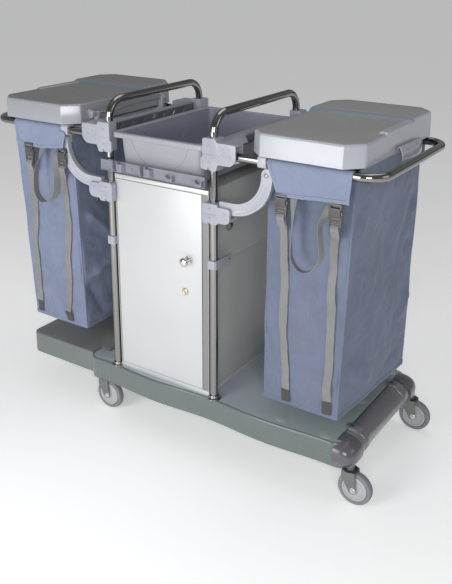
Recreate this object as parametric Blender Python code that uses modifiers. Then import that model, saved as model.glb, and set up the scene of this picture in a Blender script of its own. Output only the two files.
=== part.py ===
"""Housekeeping cart: a moulded base on four swivel casters, two chromed push
hoops, a lockable cabinet with a lift-out tray above it, and a lidded laundry bag
on a swing-up loop at each end.

Metres, +Z up. X runs along the cart, -Y is the front (door side). The parts are
laid out about the cabinet's centre line and hang from one empty, which puts the
origin under the middle of the whole cart, on the floor.
"""
import math
import bpy
import bmesh
from mathutils import Matrix, Vector

# ------------------------------------------------------------ driving dimensions
FLOOR = 0.0080            # layout height of the floor
CENTRE_X = 0.0084         # layout x of the middle of the cart
GAP = 0.0004              # clearance between touching pieces

TUBE_R = 0.0125           # all chromed tube: 25 mm outside
TUBE_WALL = 0.0015
POST_X, POST_Y = 0.1986, 0.2437
HOOP_Z, HOOP_BEND = 1.110, 0.060

DECK_Z = 0.1970           # top of the base deck
SKIRT_Z = 0.1185          # lower edge of the base skirt
DECK_T = 0.0045           # wall of the base moulding
BASE_L, BASE_R = -0.288, 0.628
NOSE_L, NOSE_R = -0.328, 0.690
NOSE_IN = 0.187           # inner side of the corner noses
SHELF_L, SHELF_Y = -0.628, 0.235

WHEEL_R, WHEEL_W = 0.0528, 0.026
CASTER_TRAIL = 0.018
CASTER_X = (-0.2683, 0.6735)
CASTER_Y = 0.2353
AXLE_Z = FLOOR + WHEEL_R

CAB_X, CAB_F, CAB_B = 0.181, -0.247, 0.236
CAB_Z0, CAB_Z1 = DECK_Z + GAP, 0.880
DOOR_L, DOOR_R, DOOR_Z0, DOOR_Z1 = -0.176, 0.1565, 0.2145, 0.8655
DOOR_T = 0.016
DOOR_AXIS = (-0.160, -0.2435)

TRAY_RIM_X, TRAY_RIM_Y = 0.181, 0.262
TRAY_Z0, TRAY_Z1 = 0.896, 1.018

FOLD_X, FOLD_Z = 0.267, 0.9985       # pivot of the bag loop
LOOP_X, LOOP_Y, LOOP_BEND = 0.715, 0.250, 0.060
ARM_C = (0.2725, 0.957)              # centre of the curved arm
ARM_R, ARM_W = 0.1135, 0.036
BOLT = (0.3863, 0.9630)

LID_IN, LID_OUT, LID_Y = 0.326, 0.668, 0.280
LID_Z0, LID_Z1, LID_STEP = 1.020, 1.084, 0.011
LID_T = 0.0035
LID_AXIS = (0.316, 1.045)
LUG_Y = 0.165

BAG_X0, BAG_X1, BAG_Y = 0.375, 0.645, 0.2325
BAG_Z0, BAG_Z1, BAG_T = 0.247, 1.006, 0.003

# ---------------------------------------------------------------------- clearing
for old in list(bpy.data.objects):
    bpy.data.objects.remove(old, do_unlink=True)

cart = bpy.data.collections.new("housekeeping_cart")
bpy.context.scene.collection.children.link(cart)
cutters = bpy.data.collections.new("cutters")
bpy.context.scene.collection.children.link(cutters)

ROOT = bpy.data.objects.new("cart_origin", None)
ROOT.location = (-CENTRE_X, 0.0, -FLOOR)
cart.objects.link(ROOT)


# --------------------------------------------------------------------- materials
def material(name, colour, rough, metal=0.0):
    mat = bpy.data.materials.new(name)
    mat.use_nodes = True
    shader = mat.node_tree.nodes["Principled BSDF"]
    shader.inputs["Base Color"].default_value = (*colour, 1.0)
    shader.inputs["Roughness"].default_value = rough
    shader.inputs["Metallic"].default_value = metal
    return mat


M_BASE = material("base_moulding", (0.17, 0.20, 0.20), 0.45)
M_COVER = material("end_cover_moulding", (0.19, 0.19, 0.22), 0.42)
M_CHROME = material("chrome_tube", (0.78, 0.78, 0.78), 0.08, 1.0)
M_BRACKET = material("bracket_moulding", (0.46, 0.49, 0.56), 0.38)
M_ARM = material("arm_moulding", (0.60, 0.62, 0.67), 0.35)
M_BEAM = material("beam_moulding", (0.20, 0.21, 0.23), 0.45)
M_TRAY = material("tray_moulding", (0.36, 0.38, 0.42), 0.42)
M_PANEL = material("cabinet_sheet", (0.42, 0.42, 0.39), 0.40)
M_DOOR = material("door_sheet", (0.80, 0.82, 0.82), 0.35)
M_KNOB = material("knob_metal", (0.75, 0.75, 0.74), 0.12, 1.0)
M_LOCK = material("lock_metal", (0.66, 0.58, 0.38), 0.25, 1.0)
M_LID = material("lid_moulding", (0.30, 0.32, 0.35), 0.40)
M_BAG = material("bag_fabric", (0.28, 0.31, 0.46), 0.85)
M_FORK = material("caster_steel", (0.45, 0.45, 0.43), 0.30, 1.0)
M_TYRE = material("caster_tyre", (0.12, 0.14, 0.15), 0.60)
M_HUB = material("caster_hub", (0.55, 0.54, 0.52), 0.45)


# ----------------------------------------------------------------------- helpers
def add_object(name, mesh, mat=None, target=None):
    ob = bpy.data.objects.new(name, mesh)
    (target or cart).objects.link(ob)
    if mat is not None:
        mesh.materials.clear()
        mesh.materials.append(mat)
    return ob


def from_bmesh(name, bm, mat=None, target=None):
    mesh = bpy.data.meshes.new(name)
    bm.normal_update()
    bm.to_mesh(mesh)
    bm.free()
    return add_object(name, mesh, mat, target)


def evaluated_mesh(ob):
    bpy.context.view_layer.update()
    graph = bpy.context.evaluated_depsgraph_get()
    return bpy.data.meshes.new_from_object(ob.evaluated_get(graph), depsgraph=graph)


def bake(ob, weld=0.00002):
    """Fix an object's modifiers into its mesh, in world space."""
    mesh = evaluated_mesh(ob)
    mesh.transform(ob.matrix_world)
    ob.modifiers.clear()
    old = ob.data
    mats = [m for m in old.materials]
    ob.data = mesh
    ob.matrix_world = Matrix.Identity(4)
    if not mesh.materials and mats:
        mesh.materials.append(mats[0])
    if weld:
        bm = bmesh.new()
        bm.from_mesh(mesh)
        bmesh.ops.remove_doubles(bm, verts=bm.verts, dist=weld)
        bmesh.ops.dissolve_degenerate(bm, edges=bm.edges, dist=weld)
        bm.to_mesh(mesh)
        bm.free()
    return ob


def box(name, lo, hi, mat=None, target=None, bevel=0.0, segments=2, angle=None):
    bm = bmesh.new()
    bmesh.ops.create_cube(bm, size=1.0)
    size = [hi[i] - lo[i] for i in range(3)]
    mid = [(hi[i] + lo[i]) / 2 for i in range(3)]
    bmesh.ops.scale(bm, vec=size, verts=bm.verts)
    bmesh.ops.translate(bm, vec=mid, verts=bm.verts)
    ob = from_bmesh(name, bm, mat, target)
    if bevel:
        add_bevel(ob, bevel, segments)
    return ob


def add_bevel(ob, width, segments=2, angle=35.0):
    mod = ob.modifiers.new("round", "BEVEL")
    mod.width = width
    mod.segments = segments
    mod.limit_method = "ANGLE"
    mod.angle_limit = math.radians(angle)
    return mod


def rod(name, a, b, r, sides=12, mat=None, target=None, r2=None):
    """A cylinder or cone from a to b."""
    a, b = Vector(a), Vector(b)
    bm = bmesh.new()
    bmesh.ops.create_cone(bm, cap_ends=True, cap_tris=False, segments=sides,
                          radius1=r, radius2=r if r2 is None else r2, depth=(b - a).length)
    turn = (b - a).to_track_quat("Z", "Y").to_matrix().to_4x4()
    bmesh.ops.transform(bm, matrix=Matrix.Translation((a + b) / 2) @ turn, verts=bm.verts)
    return from_bmesh(name, bm, mat, target)


PLANES = {"XY": Matrix(((1, 0, 0), (0, 1, 0), (0, 0, 1))),
          "XZ": Matrix(((1, 0, 0), (0, 0, -1), (0, 1, 0))),
          "YZ": Matrix(((0, 0, 1), (1, 0, 0), (0, 1, 0)))}


def prism(name, outline, plane, lo, hi, mat=None, target=None):
    """A flat outline given thickness: a filled 2D curve, extruded both ways."""
    curve = bpy.data.curves.new(name, "CURVE")
    curve.dimensions = "2D"
    curve.fill_mode = "BOTH"
    curve.extrude = (hi - lo) / 2
    spline = curve.splines.new("POLY")
    spline.points.add(len(outline) - 1)
    for point, (u, v) in zip(spline.points, outline):
        point.co = (u, v, 0.0, 1.0)
    spline.use_cyclic_u = True
    guide = bpy.data.objects.new(name + "_outline", curve)
    cutters.objects.link(guide)
    mesh = evaluated_mesh(guide)
    bpy.data.objects.remove(guide, do_unlink=True)
    turn = PLANES[plane].to_4x4()
    mid = (hi + lo) / 2 * (-1 if plane == "XZ" else 1)
    mesh.transform(turn @ Matrix.Translation((0, 0, mid)))
    bm = bmesh.new()
    bm.from_mesh(mesh)
    bmesh.ops.remove_doubles(bm, verts=bm.verts, dist=0.00002)
    bmesh.ops.recalc_face_normals(bm, faces=bm.faces)
    bmesh.ops.dissolve_limit(bm, angle_limit=0.002, verts=bm.verts, edges=bm.edges)
    bm.to_mesh(mesh)
    bm.free()
    return add_object(name, mesh, mat, target)


def rounded(points, radii, steps=4):
    """Outline with each corner replaced by an arc of its own radius."""
    out = []
    n = len(points)
    for i in range(n):
        p, q, s = Vector(points[i - 1]), Vector(points[i]), Vector(points[(i + 1) % n])
        r = radii[i] if isinstance(radii, (list, tuple)) else radii
        if r <= 0:
            out.append(tuple(q))
            continue
        d1, d2 = (p - q).normalized(), (s - q).normalized()
        half = math.acos(max(-1.0, min(1.0, d1.dot(d2)))) / 2
        back = r / math.tan(half)
        centre = q + (d1 + d2).normalized() * (r / math.sin(half))
        a = q + d1 * back - centre
        b = q + d2 * back - centre
        sweep = math.atan2(a.x * b.y - a.y * b.x, a.dot(b))
        for k in range(steps + 1):
            t = sweep * k / steps
            out.append((centre.x + a.x * math.cos(t) - a.y * math.sin(t),
                        centre.y + a.x * math.sin(t) + a.y * math.cos(t)))
    return out


def bent_path(corners, radius, steps=5):
    """3-D polyline through corners, each inner corner bent to a radius."""
    pts = [Vector(corners[0])]
    for i in range(1, len(corners) - 1):
        p, q, s = (Vector(corners[j]) for j in (i - 1, i, i + 1))
        d1, d2 = (p - q).normalized(), (s - q).normalized()
        half = d1.angle(d2) / 2
        centre = q + (d1 + d2).normalized() * (radius / math.sin(half))
        a = q + d1 * (radius / math.tan(half)) - centre
        b = q + d2 * (radius / math.tan(half)) - centre
        for k in range(steps + 1):
            t = k / steps
            w = a.angle(b)
            pts.append(centre + (a * math.sin((1 - t) * w) + b * math.sin(t * w)) / math.sin(w))
    pts.append(Vector(corners[-1]))
    return pts


def tube(name, pts, r, wall, mat):
    """Open-ended bent tube: a bevelled curve given a wall."""
    curve = bpy.data.curves.new(name, "CURVE")
    curve.dimensions = "3D"
    curve.bevel_depth = r
    curve.bevel_resolution = 3
    curve.use_fill_caps = False
    spline = curve.splines.new("POLY")
    spline.points.add(len(pts) - 1)
    for point, co in zip(spline.points, pts):
        point.co = (*co, 1.0)
    guide = bpy.data.objects.new(name + "_path", curve)
    cutters.objects.link(guide)
    mesh = evaluated_mesh(guide)
    bpy.data.objects.remove(guide, do_unlink=True)
    bm = bmesh.new()
    bm.from_mesh(mesh)
    bmesh.ops.remove_doubles(bm, verts=bm.verts, dist=0.00002)
    bmesh.ops.recalc_face_normals(bm, faces=bm.faces)
    middle = sum((Vector(p) for p in pts), Vector()) / len(pts)
    bm.to_mesh(mesh)
    bm.free()
    ob = add_object(name, mesh, mat)
    mod = ob.modifiers.new("wall", "SOLIDIFY")
    mod.thickness = wall
    mod.offset = -1.0
    mod.use_rim = True
    bake(ob)
    fix_outward(ob)
    return ob


def fix_outward(ob):
    bm = bmesh.new()
    bm.from_mesh(ob.data)
    if bm.calc_volume(signed=True) < 0:
        bmesh.ops.reverse_faces(bm, faces=bm.faces)
    bm.to_mesh(ob.data)
    bm.free()


def turned(name, profile, sides, centre, axis, mat):
    """Solid of revolution. profile: (radius, height) from the top down; both ends
    at radius 0 close it, otherwise the profile must close on itself."""
    bm = bmesh.new()
    verts = [bm.verts.new((r, 0.0, h)) for r, h in profile]
    closed = profile[0][0] > 0
    for a, b in zip(verts, verts[1:]):
        bm.edges.new((a, b))
    if closed:
        bm.edges.new((verts[-1], verts[0]))
    mesh = bpy.data.meshes.new(name)
    bm.to_mesh(mesh)
    bm.free()
    ob = add_object(name, mesh, mat)
    mod = ob.modifiers.new("turn", "SCREW")
    mod.steps = sides
    mod.render_steps = sides
    mod.use_merge_vertices = True
    mod.merge_threshold = 0.00005
    mod.use_smooth_shade = True
    turn = Vector(axis).to_track_quat("Z", "Y").to_matrix().to_4x4()
    ob.matrix_world = Matrix.Translation(centre) @ turn
    bake(ob)
    bm = bmesh.new()
    bm.from_mesh(ob.data)
    bmesh.ops.recalc_face_normals(bm, faces=bm.faces)
    bm.to_mesh(ob.data)
    bm.free()
    fix_outward(ob)
    return ob


def combine(ob, other, operation):
    """Boolean other into ob, then drop other."""
    other.hide_render = True
    other.display_type = "WIRE"
    mod = ob.modifiers.new(operation.lower(), "BOOLEAN")
    mod.operation = operation
    mod.solver = "EXACT"
    mod.object = other
    bake(ob)
    bpy.data.objects.remove(other, do_unlink=True)
    return ob


def cut(ob, *others):
    for other in others:
        combine(ob, other, "DIFFERENCE")
    return ob


def join(ob, *others):
    for other in others:
        combine(ob, other, "UNION")
    return ob


def c_box(lo, hi, **kw):
    return box("cutter", lo, hi, target=cutters, **kw)


def c_rod(a, b, r, sides=12):
    return rod("cutter", a, b, r, sides, target=cutters)


def leaks(bm):
    return sum(1 for e in bm.edges if not e.is_manifold)


def tidy(ob):
    """Merge flat neighbours, kept only where the body stays closed."""
    bm = bmesh.new()
    bm.from_mesh(ob.data)
    before = leaks(bm)
    bmesh.ops.remove_doubles(bm, verts=bm.verts, dist=0.00003)
    bmesh.ops.dissolve_limit(bm, angle_limit=0.0015, verts=bm.verts, edges=bm.edges)
    bmesh.ops.triangulate(bm, faces=[f for f in bm.faces if len(f.verts) > 4])
    if leaks(bm) <= before:
        bm.to_mesh(ob.data)
    bm.free()
    return ob


def stacked(name, rings, mat=None, target=None):
    """Closed body through like outlines, from the bottom one up."""
    bm = bmesh.new()
    loops = [[bm.verts.new((x, y, z)) for x, y in outline] for outline, z in rings]
    n = len(loops[0])
    bm.faces.new(list(reversed(loops[0])))
    bm.faces.new(loops[-1])
    for a, b in zip(loops, loops[1:]):
        for i in range(n):
            j = (i + 1) % n
            bm.faces.new((a[i], a[j], b[j], b[i]))
    bmesh.ops.recalc_face_normals(bm, faces=bm.faces)
    bmesh.ops.triangulate(bm, faces=[f for f in bm.faces if len(f.verts) > 4])
    ob = from_bmesh(name, bm, mat, target)
    fix_outward(ob)
    return ob


def mirrored(src, name, x=1, y=1):
    """A mirror image of a finished piece, across x=0 and/or y=0."""
    mesh = src.data.copy()
    mesh.name = name
    mesh.transform(Matrix.Diagonal((x, y, 1, 1)))
    if x * y < 0:
        mesh.flip_normals()
    ob = bpy.data.objects.new(name, mesh)
    cart.objects.link(ob)
    return ob


def four(src, base):
    """The three mirror images of a front-right piece."""
    mirrored(src, base + "_front_left", x=-1)
    mirrored(src, base + "_rear_right", y=-1)
    mirrored(src, base + "_rear_left", x=-1, y=-1)


ORIGINS = {}


def on_axis(name, point):
    ORIGINS[name] = Vector(point)


# ------------------------------------------------------------------- moulded base
def skirt_y(x):
    """Half width of the base: a gentle wave along the front and back."""
    return 0.2625 + 0.0055 * math.cos(2 * math.pi * (x + 0.03) / 0.42)


def base_outline(inset=0.0):
    n = 16
    front = []
    for i in range(n + 1):
        x = NOSE_L + 0.038 + (NOSE_R - NOSE_L - 0.076) * i / n
        front.append((x, -(skirt_y(x) - inset)))
    lx, rx = NOSE_L + inset, NOSE_R - inset
    r = 0.036
    r -= inset
    left = [(lx + r * (1 - math.cos(t)), -(skirt_y(-0.285) - inset) + r * (1 - math.sin(t)))
            for t in [math.pi / 8 * k for k in range(4)]]
    right = [(rx - r * (1 - math.cos(t)), -(skirt_y(0.668) - inset) + r * (1 - math.sin(t)))
             for t in [math.pi / 8 * (3 - k) for k in range(4)]]
    front = left + front + right
    half = [(BASE_L + inset, -(NOSE_IN + inset)), (lx, -(NOSE_IN + inset))] + front + \
           [(rx, -(NOSE_IN + inset)), (BASE_R - inset, -(NOSE_IN + inset))]
    return half + [(x, -y) for x, y in reversed(half)]


def make_base():
    e = 0.012
    base = stacked("base_deck", [(base_outline(0.0015), SKIRT_Z), (base_outline(), SKIRT_Z + 0.0015),
                                 (base_outline(), DECK_Z - e), (base_outline(0.3 * e), DECK_Z - 0.32 * e),
                                 (base_outline(e), DECK_Z)], M_BASE)
    # hollow underneath, left solid at the ends for the caster sockets
    n = 6
    front = [(-0.215 + (0.600 + 0.215) * i / n, -(skirt_y(-0.215 + 0.815 * i / n) - DECK_T - 0.002))
             for i in range(n + 1)]
    pocket = prism("pocket", front + [(x, -y) for x, y in reversed(front)], "XY",
                   SKIRT_Z - 0.02, DECK_Z - DECK_T, target=cutters)
    cut(base, pocket)
    for x in CASTER_X:
        for y in (-CASTER_Y, CASTER_Y):
            cut(base, c_rod((x, y, SKIRT_Z - 0.01), (x, y, 0.165), 0.0105, 12))
    return tidy(base)


def make_shelf():
    """Extension shelf: a shallow inverted tray keyed between the left noses."""
    def outline(i):
        x0, x1, x2 = SHELF_L + i, NOSE_L - GAP - i, BASE_L - GAP - i
        y0, y1 = SHELF_Y - i, NOSE_IN - GAP - i
        return rounded([(x0, -y0), (x1, -y0), (x1, -y1), (x2, -y1), (x2, y1), (x1, y1), (x1, y0), (x0, y0)],
                       [0.022 - i, 0, 0, 0, 0, 0, 0, 0.022 - i])
    shelf = stacked("extension_shelf", [(outline(0), 0.1200), (outline(0), 0.1985 - 0.003),
                                        (outline(0.001), 0.1985 - 0.0008), (outline(0.003), 0.1985)], M_BASE)
    x0, x1, y1 = SHELF_L + 0.005, NOSE_L - 0.0065, SHELF_Y - 0.005
    cut(shelf, prism("pocket", rounded([(x0, -y1), (x1, -y1), (x1, y1), (x0, y1)], [0.017, 0, 0, 0.017]),
                     "XY", 0.10, 0.1985 - 0.005, target=cutters))
    return tidy(shelf)


def make_end_cover():
    """Half-round cover on the right end, with two screw ears lying on the deck."""
    zc, r = 0.158, 0.0395

    def arc(grow):
        return [(BASE_R + GAP + (0.0580 + grow) * math.cos(t), zc + (r + grow) * math.sin(t))
                for t in [-math.pi / 2 + math.pi * k / 12 for k in range(13)]]
    cover = prism("end_cover", arc(0.0), "XZ", -0.168, 0.168, M_COVER)
    for y in (-0.145, 0.145):
        ear = prism("ear", rounded([(0.616, y - 0.019), (0.650, y - 0.019),
                                    (0.650, y + 0.019), (0.616, y + 0.019)],
                                   [0.016, 0, 0, 0.016], 3), "XY", DECK_Z + GAP, 0.2040)
        join(cover, ear)
        # a raised collar runs on from the ear round the half-round
        join(cover, prism("collar", arc(0.0025), "XZ", y - 0.012, y + 0.012))
        cut(cover, c_rod((0.632, y, 0.19), (0.632, y, 0.21), 0.0028, 8))
    return tidy(cover)


# ---------------------------------------------------------- chromed hoops and feet
def make_hoops():
    z0 = DECK_Z + GAP
    path = bent_path([(POST_X, -POST_Y, z0), (POST_X, -POST_Y, HOOP_Z),
                      (POST_X, POST_Y, HOOP_Z), (POST_X, POST_Y, z0)], HOOP_BEND, 4)
    right = tube("hoop_right", path, TUBE_R, TUBE_WALL, M_CHROME)
    mirrored(right, "hoop_left", x=-1)
    zb = DECK_Z + GAP
    bore, r = TUBE_R + 0.0007, 0.0215
    flange = turned("post_flange_front_right",
                    [(bore, zb + 0.011), (0.0160, zb + 0.011), (0.0175, zb + 0.006),
                     (r, zb + 0.004), (r + 0.0015, zb), (bore, zb)],
                    16, (POST_X, -POST_Y, 0), (0, 0, 1), M_CHROME)
    cut(flange, c_box((0.10, -0.30, 0.10), (CAB_X + 0.0008, -0.20, 0.30)))
    tidy(flange)
    four(flange, "post_flange")


# ------------------------------------------------------------------ post brackets
BR_F, BR_B = -0.2715, -0.2285        # front and back face of a front bracket


def make_top_bracket():
    pts = [(0.177, 1.046), (0.222, 1.046), (0.226, 1.036), (0.290, 1.036), (0.290, 0.972),
           (0.230, 0.972), (0.222, 0.950), (0.170, 0.954), (0.170, 0.986), (0.177, 0.992)]
    rad = [0.003, 0, 0, 0.004, 0.027, 0.003, 0.006, 0.006, 0.002, 0]
    br = prism("top_bracket_front_right", rounded(pts, rad, 3), "XZ", BR_F, BR_B, M_BRACKET)
    cut(br, c_box((0.15, -0.2632, 0.94), (0.1825, -0.20, 1.06)),
        c_box((0.2255, -0.2665, 0.90), (0.32, -0.2335, 1.030)),
        c_rod((POST_X, -POST_Y, 0.90), (POST_X, -POST_Y, 1.10), TUBE_R + 0.0007, 12))
    pin = rod("pin", (FOLD_X, BR_F + 0.002, FOLD_Z), (FOLD_X, BR_B - 0.002, FOLD_Z), 0.0038, 8)
    join(br, pin)
    tidy(br)
    four(br, "top_bracket")


def make_lower_bracket():
    pts = [(0.175, 0.852), (0.226, 0.852), (0.229, 0.845), (0.271, 0.845), (0.271, 0.797),
           (0.230, 0.797), (0.224, 0.789), (0.175, 0.789)]
    rad = [0.006, 0, 0, 0.005, 0.018, 0, 0.004, 0.006]
    br = prism("lower_bracket_front_right", rounded(pts, rad, 3), "XZ", BR_F, BR_B, M_BRACKET)
    cut(br, c_box((0.15, -0.2490, 0.77), (0.1818, -0.20, 0.87)),
        c_box((0.2255, -0.2612, 0.813), (0.30, -0.2388, 0.90)),
        c_rod((POST_X, -POST_Y, 0.70), (POST_X, -POST_Y, 0.90), TUBE_R + 0.0007, 12))
    hook = prism("hook", [(0.2440, 0.7985), (0.2640, 0.7985), (0.2660, 0.790), (0.2560, 0.778),
                          (0.2480, 0.784)], "XZ", -0.256, -0.244)
    join(br, hook)
    tidy(br)
    four(br, "lower_bracket")


def make_beams():
    """Cross beam of each hoop: a cap plate on a slotted web, with a tray ledge."""
    y1, y2, y3 = 0.126, 0.170, 0.2275
    plan = [(0.2122, -y3), (0.284, -y3), (0.284, -0.196), (0.262, -y2), (0.232, -y1),
            (0.232, y1), (0.262, y2), (0.284, 0.196), (0.284, y3), (0.2122, y3)]
    beam = prism("side_beam_right", rounded(plan, [0, 0, 0.008, 0.01, 0.02, 0.02, 0.01, 0.008, 0, 0], 2),
                 "XY", 1.0305, 1.036, M_BEAM)
    web = prism("web", [(-y3, 0.9965), (y3, 0.9965), (y3, 1.0310), (-y3, 1.0310)], "YZ",
                0.2122, 0.2160)
    ledge = box("ledge", (0.1660, -0.2200, 0.9965), (0.2140, 0.2200, 1.0005))
    join(beam, web, ledge)
    for k in range(-3, 4):
        if k == 0:
            continue
        yc = k * 0.058
        slot = prism("slot", [(yc - 0.016, 1.006), (yc - 0.009, 1.006), (yc + 0.009, 1.025),
                              (yc + 0.002, 1.025)], "YZ", 0.205, 0.225, target=cutters)
        cut(beam, slot)
    boss = rod("boss", (0.2085, 0, 1.0165), (0.2140, 0, 1.0165), 0.009, 10)
    join(beam, boss)
    tidy(beam)
    mirrored(beam, "side_beam_left", x=-1)


def make_tool_rail():
    rail = box("tool_rail", (-0.217, -0.2700, 0.8935), (0.183, -0.2630, 0.9290), M_BRACKET)
    for x0, x1 in ((-0.210, -0.186), (0.184 - 0.0245, 0.1825)):
        join(rail, box("saddle", (x0, -0.2650, 0.900), (x1, -0.2568, 0.922)))
    # two pronged broom clips, then two notched hooks
    for xc in (-0.158, -0.048):
        for dx in (0.0, 0.019):
            prong = prism("prong", rounded([(-0.2790, 0.8990), (-0.2680, 0.8960), (-0.2680, 0.9285),
                                            (-0.2790, 0.9285)], [0.004, 0, 0, 0.004], 2), "YZ",
                          xc + dx - 0.0020, xc + dx + 0.0020)
            join(rail, prong)
        join(rail, prism("jaw", rounded([(xc + 0.016, -0.2690), (xc + 0.044, -0.2690),
                                         (xc + 0.036, -0.2790), (xc + 0.016, -0.2790)],
                                        [0, 0, 0.004, 0], 2), "XY", 0.8990, 0.9240))
    for xc in (0.0610, 0.1680):
        hook = prism("hook", [(xc - 0.0125, 0.9160), (xc - 0.0125, 0.8970), (xc + 0.0125, 0.8970),
                              (xc + 0.0125, 0.9160), (xc + 0.0060, 0.9090), (xc - 0.0060, 0.9090)],
                     "XZ", -0.2790, -0.2690)
        join(rail, hook)
    return tidy(rail)


def make_clips():
    """Keeper clip half way up each front post."""
    clip = prism("post_clip_right", rounded([(0.1835, -0.2605), (0.2145, -0.2605), (0.2145, -0.1700),
                                             (0.2080, -0.1700), (0.2080, -0.2270), (0.1835, -0.2270)],
                                            [0.004, 0.004, 0.003, 0, 0, 0], 2), "XY",
                 0.6400, 0.6680, M_BRACKET)
    cut(clip, c_rod((POST_X, -POST_Y, 0.6), (POST_X, -POST_Y, 0.7), TUBE_R + 0.0007, 12),
        c_rod((0.20, -0.188, 0.654), (0.22, -0.188, 0.654), 0.003, 8))
    tidy(clip)
    mirrored(clip, "post_clip_left", x=-1)


# ------------------------------------------------------------------------ cabinet
def make_cabinet():
    body = box("cabinet_body", (-CAB_X, CAB_F, CAB_Z0), (CAB_X, CAB_B, CAB_Z1), M_PANEL)
    xl, xr = DOOR_L - 0.0025, DOOR_R + 0.0020
    mid, sheet = 0.629, 0.0020
    # behind a folded plinth and header the two compartments run to the floor and top sheets
    back = CAB_F + DOOR_T + 0.0110
    cut(body, c_box((xl, -0.30, DOOR_Z0 - 0.0010), (xr, back, DOOR_Z1 + 0.0010)),
        c_box((xl, back - 0.001, CAB_Z0 + sheet), (CAB_X - sheet, CAB_B - sheet, mid - 0.002)),
        c_box((xl, back - 0.001, mid + 0.002), (CAB_X - sheet, CAB_B - sheet, CAB_Z1 - sheet)))
    # the front edge of the right side is a hollow profile, closed in front
    profile = box("profile", (xr, CAB_F, DOOR_Z0 - 0.002), (CAB_X - 0.001, CAB_F + 0.018, DOOR_Z1 + 0.002))
    join(body, profile)
    cut(body, c_rod((*DOOR_AXIS, CAB_Z0 + 0.006), (*DOOR_AXIS, DOOR_Z0 + 0.001), 0.0026, 8),
        c_rod((*DOOR_AXIS, DOOR_Z1 - 0.001), (*DOOR_AXIS, CAB_Z1 - 0.003), 0.0026, 8))
    tidy(body)

    door = box("cabinet_door", (DOOR_L, CAB_F, DOOR_Z0), (DOOR_R, CAB_F + DOOR_T, DOOR_Z1), M_DOOR)
    cut(door, c_rod((*DOOR_AXIS, 0.1), (*DOOR_AXIS, 1.0), 0.0026, 8))
    # blind seats for the knob's stem and the lock barrel
    cut(door, c_rod((0.104, -0.30, 0.646), (0.104, CAB_F + 0.008, 0.646), 0.0044, 8),
        c_rod((0.093, -0.30, 0.539), (0.093, CAB_F + 0.012, 0.539), 0.0072, 12))
    tidy(door)
    rod("door_pivot_rod", (*DOOR_AXIS, CAB_Z0 + 0.0065), (*DOOR_AXIS, CAB_Z1 - 0.0035), 0.0020, 8, M_FORK)

    y = CAB_F - GAP
    turned("door_knob", [(0, 0.0310), (0.0060, 0.0300), (0.0105, 0.0265), (0.0125, 0.0200),
                         (0.0110, 0.0140), (0.0070, 0.0095), (0.0050, 0.0070), (0.0050, 0.0030),
                         (0.0085, 0.0012), (0.0085, 0.0), (0.0038, 0.0), (0.0038, -0.0070), (0, -0.0070)],
           12, (0.104, y, 0.646), (0, -1, 0), M_KNOB)
    lock = turned("lock_cylinder", [(0, 0.0040), (0.0060, 0.0040), (0.0088, 0.0030), (0.0092, 0.0),
                                    (0.0066, 0.0), (0.0066, -0.0105), (0, -0.0105)],
                  14, (0.093, y, 0.539), (0, -1, 0), M_LOCK)
    cut(lock, c_box((0.093 - 0.0008, y - 0.006, 0.539 - 0.0035), (0.093 + 0.0008, y - 0.0010, 0.539 + 0.0035)))
    tidy(lock)


# --------------------------------------------------------------------------- tray
def make_tray():
    """Lift-out bin: drafted walls, flat rim lip turned down all round."""
    def ring(hx, hy, r, steps=3):
        return rounded([(-hx, -hy), (hx, -hy), (hx, hy), (-hx, hy)], r, steps)
    rings = [(ring(TRAY_RIM_X, TRAY_RIM_Y, 0.022), 1.0018), (ring(TRAY_RIM_X, TRAY_RIM_Y, 0.022), TRAY_Z1),
             (ring(0.1555, 0.2450, 0.020), TRAY_Z1), (ring(0.1475, 0.2370, 0.020), TRAY_Z0 + 0.003),
             ]
    outer = [(ring(0.1505, 0.2400, 0.022), TRAY_Z0), (ring(0.1585, 0.2478, 0.022), TRAY_Z1 - 0.003),
             (ring(TRAY_RIM_X - 0.003, TRAY_RIM_Y - 0.003, 0.020), TRAY_Z1 - 0.003),
             (ring(TRAY_RIM_X - 0.003, TRAY_RIM_Y - 0.003, 0.020), 1.0018)]
    bm = bmesh.new()
    loops = []
    for outline, z in rings + outer:
        loops.append([bm.verts.new((x, y, z)) for x, y in outline])
    n = len(loops[0])
    inner_floor = bm.faces.new(loops[3])
    outer_floor = bm.faces.new(list(reversed(loops[4])))
    chain = [(0, 1), (1, 2), (2, 3), (4, 5), (5, 6), (6, 7), (7, 0)]
    for a, b in chain:
        for i in range(n):
            j = (i + 1) % n
            bm.faces.new((loops[a][i], loops[a][j], loops[b][j], loops[b][i]))
    bmesh.ops.recalc_face_normals(bm, faces=bm.faces)
    tray = from_bmesh("tray", bm, M_TRAY)
    fix_outward(tray)
    return tray


# ------------------------------------------------------------- bag loops and arms
def make_loops():
    path = bent_path([(FOLD_X - 0.011, -LOOP_Y, FOLD_Z), (LOOP_X, -LOOP_Y, FOLD_Z),
                      (LOOP_X, LOOP_Y, FOLD_Z), (FOLD_X - 0.011, LOOP_Y, FOLD_Z)], LOOP_BEND, 4)
    loop = tube("bag_loop_right", path, TUBE_R, TUBE_WALL, M_CHROME)
    for y in (-LOOP_Y, LOOP_Y):
        cut(loop, c_rod((FOLD_X, y - 0.03, FOLD_Z), (FOLD_X, y + 0.03, FOLD_Z), 0.0044, 8))
    tidy(loop)
    mirrored(loop, "bag_loop_left", x=-1)


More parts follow.
